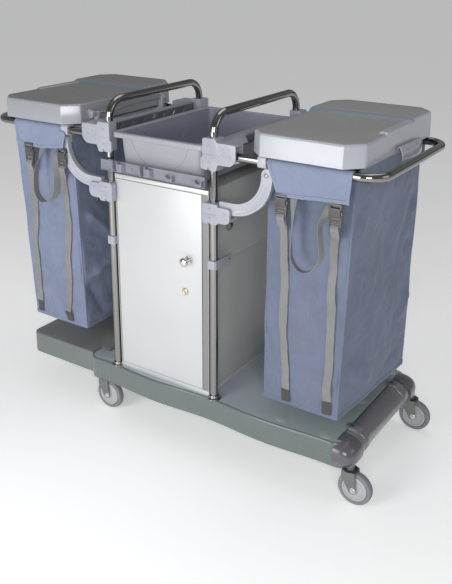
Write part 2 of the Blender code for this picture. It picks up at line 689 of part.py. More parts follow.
def make_arms():
    """Curved brace: a flat band on an arc, with a round eye at its upper end."""
    cx, cz = ARM_C
    ro, ri = ARM_R + ARM_W / 2, ARM_R - ARM_W / 2
    end = math.radians(1.5)
    outer = [(cx + ro * math.cos(t), cz + ro * math.sin(t))
             for t in [-math.pi / 2 + (end + math.pi / 2) * k / 9 for k in range(10)]]
    inner = [(cx + ri * math.cos(t), cz + ri * math.sin(t))
             for t in [end - (end + math.pi / 2) * k / 8 for k in range(9)]]
    ex, ez, r = BOLT[0], BOLT[1], ARM_W / 2
    eye = [(ex + r * math.cos(t), ez + r * math.sin(t))
           for t in [math.radians(15 + 150 * k / 5) for k in range(6)]]
    tail = [(0.2290, cz - ri), (0.2275, cz - ri - 0.004), (0.2275, cz - ro + 0.006), (0.2315, cz - ro)]
    arm = prism("brace_arm_front_right", outer + eye + inner + tail, "XZ", -0.2600, -0.2415, M_ARM)
    # sunk web along the front face, and the bolt hole in the eye
    sink_o = [(cx + (ro - 0.006) * math.cos(t), cz + (ro - 0.006) * math.sin(t))
              for t in [math.radians(-86 + 80 * k / 6) for k in range(7)]]
    sink_i = [(cx + (ri + 0.006) * math.cos(t), cz + (ri + 0.006) * math.sin(t))
              for t in [math.radians(-6 - 80 * k / 5) for k in range(6)]]
    cut(arm, prism("sink", sink_o + sink_i, "XZ", -0.27, -0.2580, target=cutters),
        c_rod((ex, -0.28, ez), (ex, -0.22, ez), 0.0036, 8))
    tidy(arm)
    four(arm, "brace_arm")


def make_hinge_frame():
    """Bar across the bag loop's two tubes: end castings that clasp the tubes and
    carry the arm bolts, and two lugs for the lid's hinge rod."""
    bar = box("hinge_frame_right", (0.344, -0.2368, 0.986), (0.366, 0.2368, 1.010), M_ARM)
    for s in (-1, 1):
        def yb(a, b):
            return (min(s * a, s * b), max(s * a, s * b))
        y0, y1 = yb(0.2350, 0.2680)
        join(bar, box("clasp", (0.360, y0, 0.9818), (0.386, y1, 1.0180)))
        cut(bar, c_rod((0.33, s * LOOP_Y, FOLD_Z), (0.42, s * LOOP_Y, FOLD_Z), TUBE_R + 0.0007, 12))
        y0, y1 = yb(0.2352, 0.2408)
        leg = prism("leg", rounded([(0.3700, 0.9835), (0.3700, 0.9500), (0.3985, 0.9500), (0.3985, 0.9720),
                                    (0.3860, 0.9835)], [0, 0.008, 0.010, 0.004, 0], 2), "XZ", y0, y1)
        join(bar, leg)
        # arm bolt: shank through the eye, head in front
        bolt = rod("bolt", (BOLT[0], s * 0.2380, BOLT[1]), (BOLT[0], s * 0.2608, BOLT[1]), 0.0030, 8)
        head = rod("head", (BOLT[0], s * 0.2604, BOLT[1]), (BOLT[0], s * 0.2640, BOLT[1]), 0.0060, 8)
        join(bolt, head)
        join(bar, bolt)
        y0, y1 = yb(LUG_Y, LUG_Y + 0.012)
        lug = prism("lug", rounded([(0.3080, 0.9960), (0.3460, 0.9880), (0.3460, 1.0080), (0.3240, 1.0130),
                                    (0.3240, 1.0530), (0.3080, 1.0530)], [0.004, 0, 0, 0, 0.006, 0.006], 2),
                    "XZ", y0, y1)
        join(bar, lug)
        cut(bar, c_rod((LID_AXIS[0], y0 - 0.01, LID_AXIS[1]), (LID_AXIS[0], y1 + 0.01, LID_AXIS[1]), 0.0034, 10))
    tidy(bar)
    mirrored(bar, "hinge_frame_left", x=-1)
    end = LUG_Y + 0.036
    pin = rod("lid_pin_right", (LID_AXIS[0], -end, LID_AXIS[1]), (LID_AXIS[0], end, LID_AXIS[1]), 0.0027, 8, M_FORK)
    mirrored(pin, "lid_pin_left", x=-1)


def make_lid():
    x0, x1, hy, t = LID_IN, LID_OUT, LID_Y, LID_T
    ri, ro = 0.040, 0.062
    plan = rounded([(x0, -hy), (x1, -hy), (x1, hy), (x0, hy)], [ri, ro, ro, ri], 5)
    lid = prism("lid_right", plan, "XY", LID_Z0, LID_Z1, M_LID)
    step = 0.085
    rear = rounded([(x0 + 0.003, step), (x1 - 0.003, step), (x1 - 0.003, hy - 0.003), (x0 + 0.003, hy - 0.003)],
                   [0, 0, ro - 0.003, ri - 0.003], 5)
    join(lid, prism("raised", rear, "XY", LID_Z1 - 0.004, LID_Z1 + LID_STEP))
    add_bevel(lid, 0.004, 1, 50)
    bake(lid)
    inner = rounded([(x0 + t, -hy + t), (x1 - t, -hy + t), (x1 - t, hy - t), (x0 + t, hy - t)],
                    [ri - t, ro - t, ro - t, ri - t], 5)
    cut(lid, prism("hollow", inner, "XY", LID_Z0 - 0.02, LID_Z1 - t, target=cutters))
    # finger notch in the outer skirt
    cut(lid, prism("notch", rounded([(-0.088, LID_Z0 - 0.01), (-0.030, LID_Z0 - 0.01), (-0.030, LID_Z0 + 0.020),
                                     (-0.088, LID_Z0 + 0.020)], [0, 0, 0.014, 0.014], 3), "YZ",
                   x1 - 0.012, x1 + 0.012, target=cutters))
    for s in (-1, 1):
        y0, y1 = sorted((s * (LUG_Y + 0.0135), s * (LUG_Y + 0.0345)))
        ear = prism("knuckle", rounded([(0.3085, 1.0375), (0.3285, 1.0300), (0.3285, 1.0620), (0.3085, 1.0525)],
                                       [0.006, 0, 0, 0.006], 3), "XZ", y0, y1)
        join(lid, ear)
        cut(lid, c_rod((LID_AXIS[0], y0 - 0.01, LID_AXIS[1]), (LID_AXIS[0], y1 + 0.01, LID_AXIS[1]), 0.0034, 10))
    tidy(lid)
    mirrored(lid, "lid_left", x=-1)


# ------------------------------------------------------------------- laundry bags
def make_bag():
    """Open-topped sewn bag, a little narrower at the foot, with a flap over the
    front and back tubes."""
    bm = bmesh.new()
    bmesh.ops.create_cube(bm, size=1.0)
    for v in bm.verts:
        top = v.co.z > 0
        x = (BAG_X0 if v.co.x < 0 else BAG_X1) if top else (0.364 if v.co.x < 0 else 0.628)
        y = math.copysign(BAG_Y if top else 0.2180, v.co.y)
        v.co = (x, y, BAG_Z1 if top else BAG_Z0)
    bmesh.ops.delete(bm, geom=[f for f in bm.faces if f.normal.z > 0.9 or
                               all(v.co.z > BAG_Z1 - 0.01 for v in f.verts)], context="FACES_ONLY")
    bag = from_bmesh("bag_right", bm, M_BAG)
    mod = bag.modifiers.new("cloth", "SOLIDIFY")
    mod.thickness = BAG_T
    mod.offset = -1.0
    bake(bag)
    fix_outward(bag)
    for s in (-1, 1):
        pts = [(0.2280, 0.9850), (0.2342, 0.9850), (0.2342, 1.0130), (0.2665, 1.0130), (0.2665, 0.9220),
               (0.2695, 0.9220), (0.2695, 1.0160), (0.2280, 1.0160)]
        join(bag, prism("flap", [(s * y, z) for y, z in pts], "YZ", 0.4120, 0.6400))
    tidy(bag)
    mirrored(bag, "bag_left", x=-1)


# ------------------------------------------------------------------------ casters
def make_caster(tag, sx, sy):
    wx = sx + CASTER_TRAIL
    hw = WHEEL_W / 2
    leg_in, leg_t = hw + 0.0035, 0.0022
    plate = rounded([(sx - 0.021, sy - leg_in - leg_t), (wx - 0.004, sy - leg_in - leg_t),
                     (wx - 0.004, sy + leg_in + leg_t), (sx - 0.021, sy + leg_in + leg_t)], 0)
    fork = prism("fork_" + tag, rounded([(sx - 0.021, sy - leg_in - leg_t), (wx - 0.004, sy - leg_in - leg_t),
                                         (wx - 0.004, sy + leg_in + leg_t), (sx - 0.021, sy + leg_in + leg_t)],
                                        [0, 0, 0, 0]), "XY", 0.1150, 0.1176, M_FORK)
    for s in (-1, 1):
        y0, y1 = sorted((sy + s * leg_in, sy + s * (leg_in + leg_t)))
        leg = prism("leg", rounded([(sx - 0.021, 0.1170), (sx - 0.021, 0.1000), (wx - 0.0085, AXLE_Z - 0.012),
                                    (wx + 0.0085, AXLE_Z - 0.012), (wx - 0.004, 0.1000), (wx - 0.004, 0.1170)],
                                   [0, 0.006, 0.008, 0.008, 0, 0], 3), "XZ", y0, y1)
        join(fork, leg)
    join(fork, rod("stem", (sx, sy, 0.1160), (sx, sy, 0.1600), 0.0095, 12))
    cut(fork, c_rod((wx, sy - 0.03, AXLE_Z), (wx, sy + 0.03, AXLE_Z), 0.0044, 8))
    tidy(fork)
    on_axis("fork_" + tag, (sx, sy, 0.1163))

    r = WHEEL_R
    turned("tyre_" + tag, [(r - 0.0115, hw - 0.0020), (r - 0.0035, hw - 0.0010), (r, hw - 0.0065),
                           (r, -hw + 0.0065), (r - 0.0035, -hw + 0.0010), (r - 0.0115, -hw + 0.0020)],
           20, (wx, sy, AXLE_Z), (0, -1, 0), M_TYRE)
    ri = r - 0.0115 - GAP - 0.0008
    turned("wheel_hub_" + tag, [(0.0046, hw), (0.0110, hw), (0.0135, hw - 0.0045), (ri - 0.0065, hw - 0.0045),
                                (ri, hw - 0.0020), (ri, -hw + 0.0020), (ri - 0.0065, -hw + 0.0045),
                                (0.0135, -hw + 0.0045), (0.0110, -hw), (0.0046, -hw)],
           14, (wx, sy, AXLE_Z), (0, -1, 0), M_HUB)
    tip = leg_in + leg_t + 0.0048
    turned("axle_" + tag, [(0, tip), (0.0050, tip), (0.0066, tip - 0.0016), (0.0066, tip - 0.0044),
                           (0.0040, tip - 0.0044), (0.0040, -tip + 0.0044), (0.0066, -tip + 0.0044),
                           (0.0066, -tip + 0.0016), (0.0050, -tip), (0, -tip)],
           8, (wx, sy, AXLE_Z), (0, -1, 0), M_FORK)
    for piece in ("tyre_", "wheel_hub_", "axle_"):
        on_axis(piece + tag, (wx, sy, AXLE_Z))


# ------------------------------------------------------------------------ assembly
make_base()
make_shelf()
make_end_cover()
make_hoops()
make_top_bracket()
make_lower_bracket()
make_beams()
make_tool_rail()
make_clips()
make_cabinet()
make_tray()
make_loops()
make_arms()
make_hinge_frame()
make_lid()
make_bag()
for end, x in (("left", CASTER_X[0]), ("right", CASTER_X[1])):
    for side, y in (("front", -CASTER_Y), ("rear", CASTER_Y)):
        make_caster(side + "_" + end, x, y)

on_axis("cabinet_door", (*DOOR_AXIS, DOOR_Z0))
on_axis("door_knob", (*DOOR_AXIS, 0.646))
on_axis("lock_cylinder", (0.093, CAB_F, 0.539))
on_axis("tray", (0, 0, TRAY_Z0))
for side, s in (("right", 1), ("left", -1)):
    for name in ("bag_loop_" + side, "hinge_frame_" + side, "bag_" + side, "lid_pin_" + side,
                 "brace_arm_front_" + side, "brace_arm_rear_" + side):
        on_axis(name, (s * FOLD_X, 0, FOLD_Z))
    on_axis("lid_" + side, (s * LID_AXIS[0], 0, LID_AXIS[1]))

for ob in list(cart.objects):
    if ob.type != "MESH":
        continue
    origin = ORIGINS.get(ob.name, Vector((0, 0, 0)))
    ob.data.transform(Matrix.Translation(-origin))
    ob.parent = ROOT
    ob.location = origin
    ob.data.shade_smooth()
    ob.data.set_sharp_from_angle(angle=math.radians(32))
bpy.context.view_layer.update()
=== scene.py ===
import math
import bpy
import bmesh
from mathutils import Matrix, Vector, noise


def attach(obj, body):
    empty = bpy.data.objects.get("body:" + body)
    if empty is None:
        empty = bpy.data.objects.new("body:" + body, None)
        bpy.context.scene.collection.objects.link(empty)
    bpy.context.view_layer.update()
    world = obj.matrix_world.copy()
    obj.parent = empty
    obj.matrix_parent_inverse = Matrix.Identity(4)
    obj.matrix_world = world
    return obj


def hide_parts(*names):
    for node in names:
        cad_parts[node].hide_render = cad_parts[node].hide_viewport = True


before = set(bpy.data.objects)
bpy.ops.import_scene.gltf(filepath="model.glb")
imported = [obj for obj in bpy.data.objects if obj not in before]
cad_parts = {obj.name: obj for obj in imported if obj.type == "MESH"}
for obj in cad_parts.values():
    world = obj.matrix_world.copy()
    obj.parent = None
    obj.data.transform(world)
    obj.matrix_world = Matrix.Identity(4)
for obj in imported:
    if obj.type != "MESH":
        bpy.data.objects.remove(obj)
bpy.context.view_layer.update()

scene = bpy.context.scene

# The parts are laid out about the cabinet's centre line, as in the CAD. OFF puts
# that layout into the row frame: the middle of the cart, on the floor.
CX, FZ = 0.0084, 0.0080
OFF = Matrix.Translation((-CX, 0.0, -FZ))
FLOOR = FZ

TUBE_R = 0.0125
POST_X, POST_Y, HOOP_Z, HOOP_BEND = 0.1986, 0.2437, 1.110, 0.060
DECK_Z, SKIRT_Z = 0.1970, 0.1185
BASE_L, BASE_R, NOSE_L, NOSE_R, NOSE_IN = -0.288, 0.628, -0.328, 0.6690, 0.187
SHELF_L, SHELF_Y = -0.628, 0.235
WHEEL_R, WHEEL_W, TRAIL = 0.0528, 0.026, 0.018
CASTER_X, CASTER_Y = (-0.2683, 0.6735), 0.2353
AXLE_Z = FLOOR + WHEEL_R
CAB_X, CAB_F, CAB_B, CAB_Z0, CAB_Z1 = 0.181, -0.247, 0.236, DECK_Z + 0.0004, 0.880
DOOR_L, DOOR_R, DOOR_Z0, DOOR_Z1, DOOR_T = -0.176, 0.1565, 0.2145, 0.8655, 0.016
TRAY_RX, TRAY_RY, TRAY_Z0, TRAY_Z1 = 0.181, 0.262, 0.896, 1.018
FOLD_X, FOLD_Z = 0.267, 0.9985
LOOP_X, LOOP_Y, LOOP_BEND = 0.715, 0.250, 0.060
ARM_C, ARM_R, ARM_W, BOLT = (0.2725, 0.957), 0.1135, 0.036, (0.3863, 0.9630)
LID_IN, LID_OUT, LID_Y, LID_Z0, LID_Z1, LID_STEP, LID_T = 0.326, 0.668, 0.280, 1.020, 1.084, 0.011, 0.0035
LID_AXIS, LUG_Y = (0.316, 1.045), 0.165
BAG_Z0, BAG_Z1 = 0.247, 1.006
CORNERS = [(s, e) for e in ("left", "right") for s in ("front", "rear")]


# ------------------------------------------------------------------- materials
def nodes_for(name, colour, rough, metal=0.0, coat=0.0, sheen=0.0, spec=0.5):
    mat = bpy.data.materials.new(name)
    mat.use_nodes = True
    tree = mat.node_tree
    bsdf = tree.nodes["Principled BSDF"]
    bsdf.inputs["Base Color"].default_value = (*colour, 1.0)
    bsdf.inputs["Roughness"].default_value = rough
    bsdf.inputs["Metallic"].default_value = metal
    bsdf.inputs["Coat Weight"].default_value = coat
    bsdf.inputs["Coat Roughness"].default_value = 0.18
    bsdf.inputs["Sheen Weight"].default_value = sheen
    bsdf.inputs["Sheen Roughness"].default_value = 0.45
    bsdf.inputs["Specular IOR Level"].default_value = spec
    mat.diffuse_color = (*colour, 1.0)
    return mat, tree, bsdf


def add(tree, kind, **values):
    node = tree.nodes.new(kind)
    for key, value in values.items():
        if key in node.inputs:
            node.inputs[key].default_value = value
        else:
            setattr(node, key, value)
    return node


def coords(tree, scale=(1, 1, 1), turn=(0, 0, 0)):
    tex = tree.nodes.new("ShaderNodeTexCoord")
    mapping = tree.nodes.new("ShaderNodeMapping")
    mapping.inputs["Scale"].default_value = scale
    mapping.inputs["Rotation"].default_value = turn
    tree.links.new(tex.outputs["Object"], mapping.inputs["Vector"])
    return mapping.outputs["Vector"]


def noise_of(tree, vector, scale, detail=3.0, rough=0.55, distort=0.0):
    node = tree.nodes.new("ShaderNodeTexNoise")
    node.inputs["Scale"].default_value = scale
    node.inputs["Detail"].default_value = detail
    node.inputs["Roughness"].default_value = rough
    node.inputs["Distortion"].default_value = distort
    tree.links.new(vector, node.inputs["Vector"])
    return node.outputs["Fac"]


def ranged(tree, value, lo, hi, a=0.0, b=1.0):
    node = tree.nodes.new("ShaderNodeMapRange")
    node.inputs["From Min"].default_value = a
    node.inputs["From Max"].default_value = b
    node.inputs["To Min"].default_value = lo
    node.inputs["To Max"].default_value = hi
    tree.links.new(value, node.inputs["Value"])
    return node.outputs["Result"]


def mixed(tree, factor, a, b, blend="MIX"):
    node = tree.nodes.new("ShaderNodeMix")
    node.data_type = "RGBA"
    node.blend_type = blend
    for socket, value in ((6, a), (7, b)):
        if isinstance(value, tuple):
            node.inputs[socket].default_value = (*value, 1.0)
        else:
            tree.links.new(value, node.inputs[socket])
    if isinstance(factor, float):
        node.inputs[0].default_value = factor
    else:
        tree.links.new(factor, node.inputs[0])
    return node.outputs[2]


def bump(tree, bsdf, height, strength, distance, chain=None):
    node = tree.nodes.new("ShaderNodeBump")
    node.inputs["Strength"].default_value = strength
    node.inputs["Distance"].default_value = distance
    tree.links.new(height, node.inputs["Height"])
    if chain is not None:
        tree.links.new(chain, node.inputs["Normal"])
    tree.links.new(node.outputs["Normal"], bsdf.inputs["Normal"])
    return node.outputs["Normal"]


def shade(colour, k):
    return tuple(min(1.0, c * k) for c in colour)


def plastic(name, colour, rough=0.38, grain=0.25, coat=0.0, var=0.10, scuff=0.12, spec=0.5):
    """Moulded plastic: faint mottling, a fine spark-eroded grain, handling scuffs."""
    mat, tree, bsdf = nodes_for(name, colour, rough, coat=coat, spec=spec)
    here = coords(tree)
    cloud = noise_of(tree, here, 9.0, 4.0)
    col = mixed(tree, ranged(tree, cloud, 0.0, 1.0, 0.3, 0.7), shade(colour, 1 - var), shade(colour, 1 + var))
    streak = noise_of(tree, coords(tree, (30, 30, 210)), 1.6, 5.0, 0.65, 0.6)
    mark = ranged(tree, streak, 0.0, scuff, 0.66, 0.84)
    col = mixed(tree, mark, col, shade(colour, 1.5))
    tree.links.new(col, bsdf.inputs["Base Color"])
    wipe = noise_of(tree, coords(tree, (1, 1, 1)), 26.0, 4.0, 0.6, 0.3)
    tree.links.new(ranged(tree, wipe, rough - 0.03, rough + 0.05, 0.3, 0.75), bsdf.inputs["Roughness"])
    fine = noise_of(tree, here, 1500.0, 2.0)
    bump(tree, bsdf, fine, grain, 0.00008)
    return mat


def chrome(name, colour=(0.80, 0.80, 0.80), rough=0.07):
    mat, tree, bsdf = nodes_for(name, colour, rough, metal=1.0)
    here = coords(tree)
    smear = noise_of(tree, here, 34.0, 5.0, 0.6, 0.4)
    tree.links.new(ranged(tree, smear, rough - 0.03, rough + 0.09, 0.35, 0.75), bsdf.inputs["Roughness"])
    spot = noise_of(tree, here, 420.0, 2.0)
    col = mixed(tree, ranged(tree, spot, 0.0, 0.35, 0.66, 0.80), colour, shade(colour, 0.72))
    tree.links.new(col, bsdf.inputs["Base Color"])
    bump(tree, bsdf, noise_of(tree, here, 180.0, 3.0), 0.06, 0.0002)
    return mat


def brushed(name, colour, rough, metal, along=(4, 4, 900), var=0.05):
    """Rolled or brushed sheet: fine parallel streaks in colour, gloss and height."""
    mat, tree, bsdf = nodes_for(name, colour, rough, metal=metal)
    line = noise_of(tree, coords(tree, along), 1.0, 3.0, 0.7)
    cloud = noise_of(tree, coords(tree), 5.0, 3.0)
    col = mixed(tree, ranged(tree, line, 0.0, 1.0, 0.3, 0.7), shade(colour, 1 - var), shade(colour, 1 + var))
    col = mixed(tree, ranged(tree, cloud, 0.0, 0.5, 0.35, 0.7), col, shade(colour, 0.94))
    tree.links.new(col, bsdf.inputs["Base Color"])
    tree.links.new(ranged(tree, line, rough - 0.05, rough + 0.10, 0.3, 0.7), bsdf.inputs["Roughness"])
    bump(tree, bsdf, line, 0.12, 0.00008)
    return mat


def woven(name, colour, pitch=0.0016, rough=0.88, sheen=0.22, turn=0.0, depth=0.5, blotch=0.14, dirt=0.10):
    """Plain weave cloth: crossed yarns, slight slubs, soft blotches and soiling."""
    mat, tree, bsdf = nodes_for(name, colour, rough, sheen=sheen, spec=0.25)
    bands = []
    for axis, angle in (("X", turn), ("Z", turn), ("Y", turn)):
        wave = tree.nodes.new("ShaderNodeTexWave")
        wave.wave_type = "BANDS"
        wave.bands_direction = axis
        wave.inputs["Scale"].default_value = 0.314159 / pitch
        wave.inputs["Distortion"].default_value = 0.5
        wave.inputs["Detail"].default_value = 1.0
        wave.inputs["Detail Scale"].default_value = 2.0
        tree.links.new(coords(tree, (1, 1, 1), (0, angle, 0)), wave.inputs["Vector"])
        bands.append(wave.outputs["Fac"])
    weave = None
    for band in bands:
        if weave is None:
            weave = band
            continue
        node = add(tree, "ShaderNodeMath", operation="MAXIMUM")
        tree.links.new(weave, node.inputs[0])
        tree.links.new(band, node.inputs[1])
        weave = node.outputs[0]
    here = coords(tree)
    soft = noise_of(tree, here, 7.0, 5.0, 0.6, 0.5)
    slub = noise_of(tree, coords(tree, (60, 60, 9)), 3.0, 3.0)
    col = mixed(tree, ranged(tree, soft, 0.0, 1.0, 0.32, 0.70), shade(colour, 1 - blotch), shade(colour, 1 + blotch))
    col = mixed(tree, ranged(tree, weave, 0.0, 0.22, 0.2, 0.9), col, shade(colour, 1.30))
    col = mixed(tree, ranged(tree, slub, 0.0, 0.30, 0.55, 0.80), col, shade(colour, 0.80))
    stain = noise_of(tree, here, 2.3, 6.0, 0.7)
    col = mixed(tree, ranged(tree, stain, 0.0, dirt, 0.55, 0.75), col, (0.20, 0.19, 0.17))
    tree.links.new(col, bsdf.inputs["Base Color"])
    tree.links.new(ranged(tree, soft, rough - 0.08, min(1.0, rough + 0.08), 0.3, 0.7), bsdf.inputs["Roughness"])
    first = bump(tree, bsdf, weave, depth, 0.00022)
    bump(tree, bsdf, noise_of(tree, here, 70.0, 4.0), 0.22, 0.0011, first)
    return mat


M = {
    "base": plastic("base_plastic", (0.125, 0.156, 0.150), 0.24, var=0.03, coat=0.5, scuff=0.04),
    # The deck is the top of the same base moulding; its much lighter colour is painted light.
    "deck": plastic("deck_painted_light_plastic", (0.430, 0.462, 0.520), 0.40, var=0.07, scuff=0.14, coat=0.05),
    "plug": plastic("plug_plastic", (0.40, 0.44, 0.44), 0.40, var=0.06, scuff=0.10),
    "shelf": plastic("shelf_plastic", (0.165, 0.185, 0.180), 0.38, var=0.06, scuff=0.12),
    "cover": plastic("cover_plastic", (0.175, 0.172, 0.194), 0.24, var=0.03, coat=0.5, scuff=0.03),
    "bracket": plastic("bracket_plastic", (0.36, 0.375, 0.43), 0.30, var=0.04, coat=0.2, scuff=0.06),
    "arm": plastic("arm_plastic", (0.42, 0.43, 0.48), 0.30, var=0.04, coat=0.15, scuff=0.06),
    "rail": plastic("rail_plastic", (0.215, 0.225, 0.270), 0.34, var=0.06, coat=0.1, scuff=0.06),
    "beam": plastic("beam_plastic", (0.13, 0.14, 0.16), 0.40, var=0.07, scuff=0.08),
    "beam_cap": plastic("beam_cap_plastic", (0.34, 0.36, 0.40), 0.34, var=0.05, coat=0.1, scuff=0.06),
    "tray": plastic("tray_plastic", (0.33, 0.345, 0.375), 0.36, var=0.05, scuff=0.06),
    # The same tray plastic made darker for the tray's inner faces: painted shade inside the tray.
    "tray_painted_shade": plastic("tray_painted_shade_plastic", (0.240, 0.255, 0.315), 0.40, var=0.07, scuff=0.06),
    "lid": plastic("lid_plastic", (0.440, 0.455, 0.500), 0.20, var=0.015, scuff=0.02, coat=0.5, grain=0.10),
    # A darker, greyer copy of the lid plastic for the flat top faces: the darker colour is painted shade on the top,
    # and the finish is rougher too.
    "lid_upper_painted_shade": plastic("lid_upper_painted_shade_plastic", (0.345, 0.350, 0.338), 0.36, var=0.02, scuff=0.03, grain=0.2),
    # The two left-lid entries are the lid plastics made darker: painted shade on the left lid.
    "lid_left": plastic("lid_left_painted_shade_plastic", (0.340, 0.350, 0.385), 0.20, var=0.015, scuff=0.02, coat=0.5, grain=0.10),
    "lid_left_top": plastic("lid_left_top_painted_shade_plastic", (0.250, 0.254, 0.245), 0.36, var=0.02, scuff=0.03, grain=0.2),
    # A darker copy of the end-cover plastic for the nose caps: painted shade.
    "nose": plastic("nose_painted_shade_plastic", (0.112, 0.108, 0.128), 0.24, var=0.03, coat=0.5, scuff=0.03),
    "shelf_top": plastic("shelf_top_plastic", (0.230, 0.235, 0.235), 0.40, var=0.07, scuff=0.14, coat=0.05),
    "lid_ramp": plastic("lid_ramp_plastic", (0.200, 0.225, 0.270), 0.34, var=0.03, scuff=0.03, grain=0.2),
    "dark": plastic("dark_plastic", (0.040, 0.042, 0.046), 0.38, var=0.10, scuff=0.06),
    "hub": plastic("hub_plastic", (0.42, 0.43, 0.43), 0.40, var=0.05, scuff=0.14),
    "tyre": plastic("tyre_rubber", (0.20, 0.215, 0.23), 0.60, var=0.08, grain=0.5, scuff=0.20),
    "chrome": chrome("chrome", (0.31, 0.305, 0.295), 0.05),
    "knob": chrome("knob_chrome", (0.66, 0.65, 0.63), 0.10),
    "brass": chrome("lock_brass", (0.66, 0.60, 0.42), 0.18),
    "bright": chrome("nut_zinc", (0.72, 0.72, 0.71), 0.22),
    "steel": brushed("pressed_steel", (0.40, 0.40, 0.40), 0.30, 1.0, (300, 300, 12), 0.08),
    "fork": brushed("fork_steel", (0.24, 0.245, 0.24), 0.34, 0.9, (12, 12, 260), 0.08),
    "door": brushed("door_sheet", (0.600, 0.612, 0.620), 0.34, 0.20, (3, 3, 700), 0.02),
    "panel": brushed("side_sheet", (0.47, 0.475, 0.455), 0.50, 0.05, (3, 3, 500), 0.015),
    # A dark copy of the aluminium trim for the right-hand upright profile and the door's edges: painted shade.
    "frame_painted_shade": brushed("profile_sheet_painted_shade", (0.26, 0.26, 0.26), 0.40, 0.35, (3, 3, 400), 0.04),
    "trim": brushed("trim_sheet", (0.62, 0.63, 0.64), 0.34, 0.3, (3, 500, 3), 0.03),
    "flap": woven("flap_cloth", (0.225, 0.258, 0.365), sheen=0.18, blotch=0.10),
    # One cloth for both bags: the left copy is made lighter and the right copy darker, painted light and painted shade
    # for how the light falls on each bag.
    "fabric": woven("bag_cloth", (0.192, 0.222, 0.318), sheen=0.18, blotch=0.12),
    "fabric_right_painted_shade": woven("bag_cloth_right_painted_shade", (0.148, 0.174, 0.246), sheen=0.18, blotch=0.14),
    "web": woven("webbing", (0.225, 0.228, 0.224), pitch=0.0030, rough=0.80, sheen=0.12, depth=0.9, blotch=0.12),
}


def painted_light_along_x(mat, start, end, colour, share):
    """Painted light: blend a material's colour towards another between two positions along X."""
    tree = mat.node_tree
    bsdf = tree.nodes["Principled BSDF"]
    link = bsdf.inputs["Base Color"].links[0]
    source = link.from_socket
    split = tree.nodes.new("ShaderNodeSeparateXYZ")
    tree.links.new(coords(tree), split.inputs[0])
    wobble = noise_of(tree, coords(tree), 3.0, 2.0)
    fac = ranged(tree, split.outputs["X"], 0.0, share, start, end)
    node = add(tree, "ShaderNodeMath", operation="MULTIPLY")
    tree.links.new(fac, node.inputs[0])
    tree.links.new(ranged(tree, wobble, 0.7, 1.0, 0.35, 0.6), node.inputs[1])
    tree.links.new(mixed(tree, node.outputs[0], source, colour), bsdf.inputs["Base Color"])


# The deck's colour moves towards a darker green-grey from x 0.25 to 0.55: painted light on one moulding.
painted_light_along_x(M["deck"], 0.25, 0.55, (0.310, 0.385, 0.365), 0.85)


# ------------------------------------------------------------------ mesh tools
def finish_mesh(bm):
    bmesh.ops.remove_doubles(bm, verts=bm.verts, dist=0.000005)
    bmesh.ops.recalc_face_normals(bm, faces=bm.faces)
    if bm.calc_volume(signed=True) < 0:
        bmesh.ops.reverse_faces(bm, faces=bm.faces)


def temp(bm, name="work"):
    mesh = bpy.data.meshes.new(name)
    bm.to_mesh(mesh)
    bm.free()
    ob = bpy.data.objects.new(name, mesh)
    scene.collection.objects.link(ob)
    return ob


def bake(ob):
    bpy.context.view_layer.update()
    graph = bpy.context.evaluated_depsgraph_get()
    mesh = bpy.data.meshes.new_from_object(ob.evaluated_get(graph), depsgraph=graph)
    ob.modifiers.clear()
    ob.data = mesh
    return ob


def soften(ob, width, segments=2, angle=30.0, profile=0.5):
    mod = ob.modifiers.new("round", "BEVEL")
    mod.width = width
    mod.segments = segments
    mod.limit_method = "ANGLE"
    mod.angle_limit = math.radians(angle)
    mod.profile = profile
    mod.use_clamp_overlap = True
    return bake(ob)


def boolean(ob, others, operation):
    for other in others:
        mod = ob.modifiers.new("b", "BOOLEAN")
        mod.operation = operation
        mod.solver = "EXACT"
        mod.object = other
        bake(ob)
        bpy.data.objects.remove(other, do_unlink=True)
    return ob


def cut(ob, *others):
    return boolean(ob, others, "DIFFERENCE")


def join(ob, *others):
    return boolean(ob, others, "UNION")


def merge(ob, *others):
    """Put several closed shells in one mesh, without a Boolean."""
    bm = bmesh.new()
    bm.from_mesh(ob.data)
    for other in others:
        bm.from_mesh(other.data)
        bpy.data.objects.remove(other, do_unlink=True)
    bm.to_mesh(ob.data)
    bm.free()
    return ob


def blank():
    return bmesh.new()


def block(lo, hi, bevel=0.0, segments=2):
    bm = bmesh.new()
    bmesh.ops.create_cube(bm, size=1.0)
    bmesh.ops.scale(bm, vec=[hi[i] - lo[i] for i in range(3)], verts=bm.verts)
    bmesh.ops.translate(bm, vec=[(hi[i] + lo[i]) / 2 for i in range(3)], verts=bm.verts)
    if bevel:
        bmesh.ops.bevel(bm, geom=list(bm.edges), offset=bevel, segments=segments, profile=0.5, affect="EDGES")
    return temp(bm)


def pin(a, b, r, sides=20, r2=None, chamfer=0.0):
    a, b = Vector(a), Vector(b)
    bm = bmesh.new()
    bmesh.ops.create_cone(bm, cap_ends=True, segments=sides, radius1=r, radius2=r if r2 is None else r2,
                          depth=(b - a).length)
    turn = (b - a).to_track_quat("Z", "Y").to_matrix().to_4x4()
    bmesh.ops.transform(bm, matrix=Matrix.Translation((a + b) / 2) @ turn, verts=bm.verts)
    ob = temp(bm)
    return soften(ob, chamfer, 2, 40) if chamfer else ob


def prism(outline, plane, lo, hi):
    bm = bmesh.new()

    def at(u, v, w):
        return {"XY": (u, v, w), "XZ": (u, w, v), "YZ": (w, u, v)}[plane]
    low = [bm.verts.new(at(u, v, lo)) for u, v in outline]
    high = [bm.verts.new(at(u, v, hi)) for u, v in outline]
    bm.faces.new(low)
    bm.faces.new(high)
    n = len(outline)
    for i in range(n):
        j = (i + 1) % n
        bm.faces.new((low[i], low[j], high[j], high[i]))
    finish_mesh(bm)
    return temp(bm)


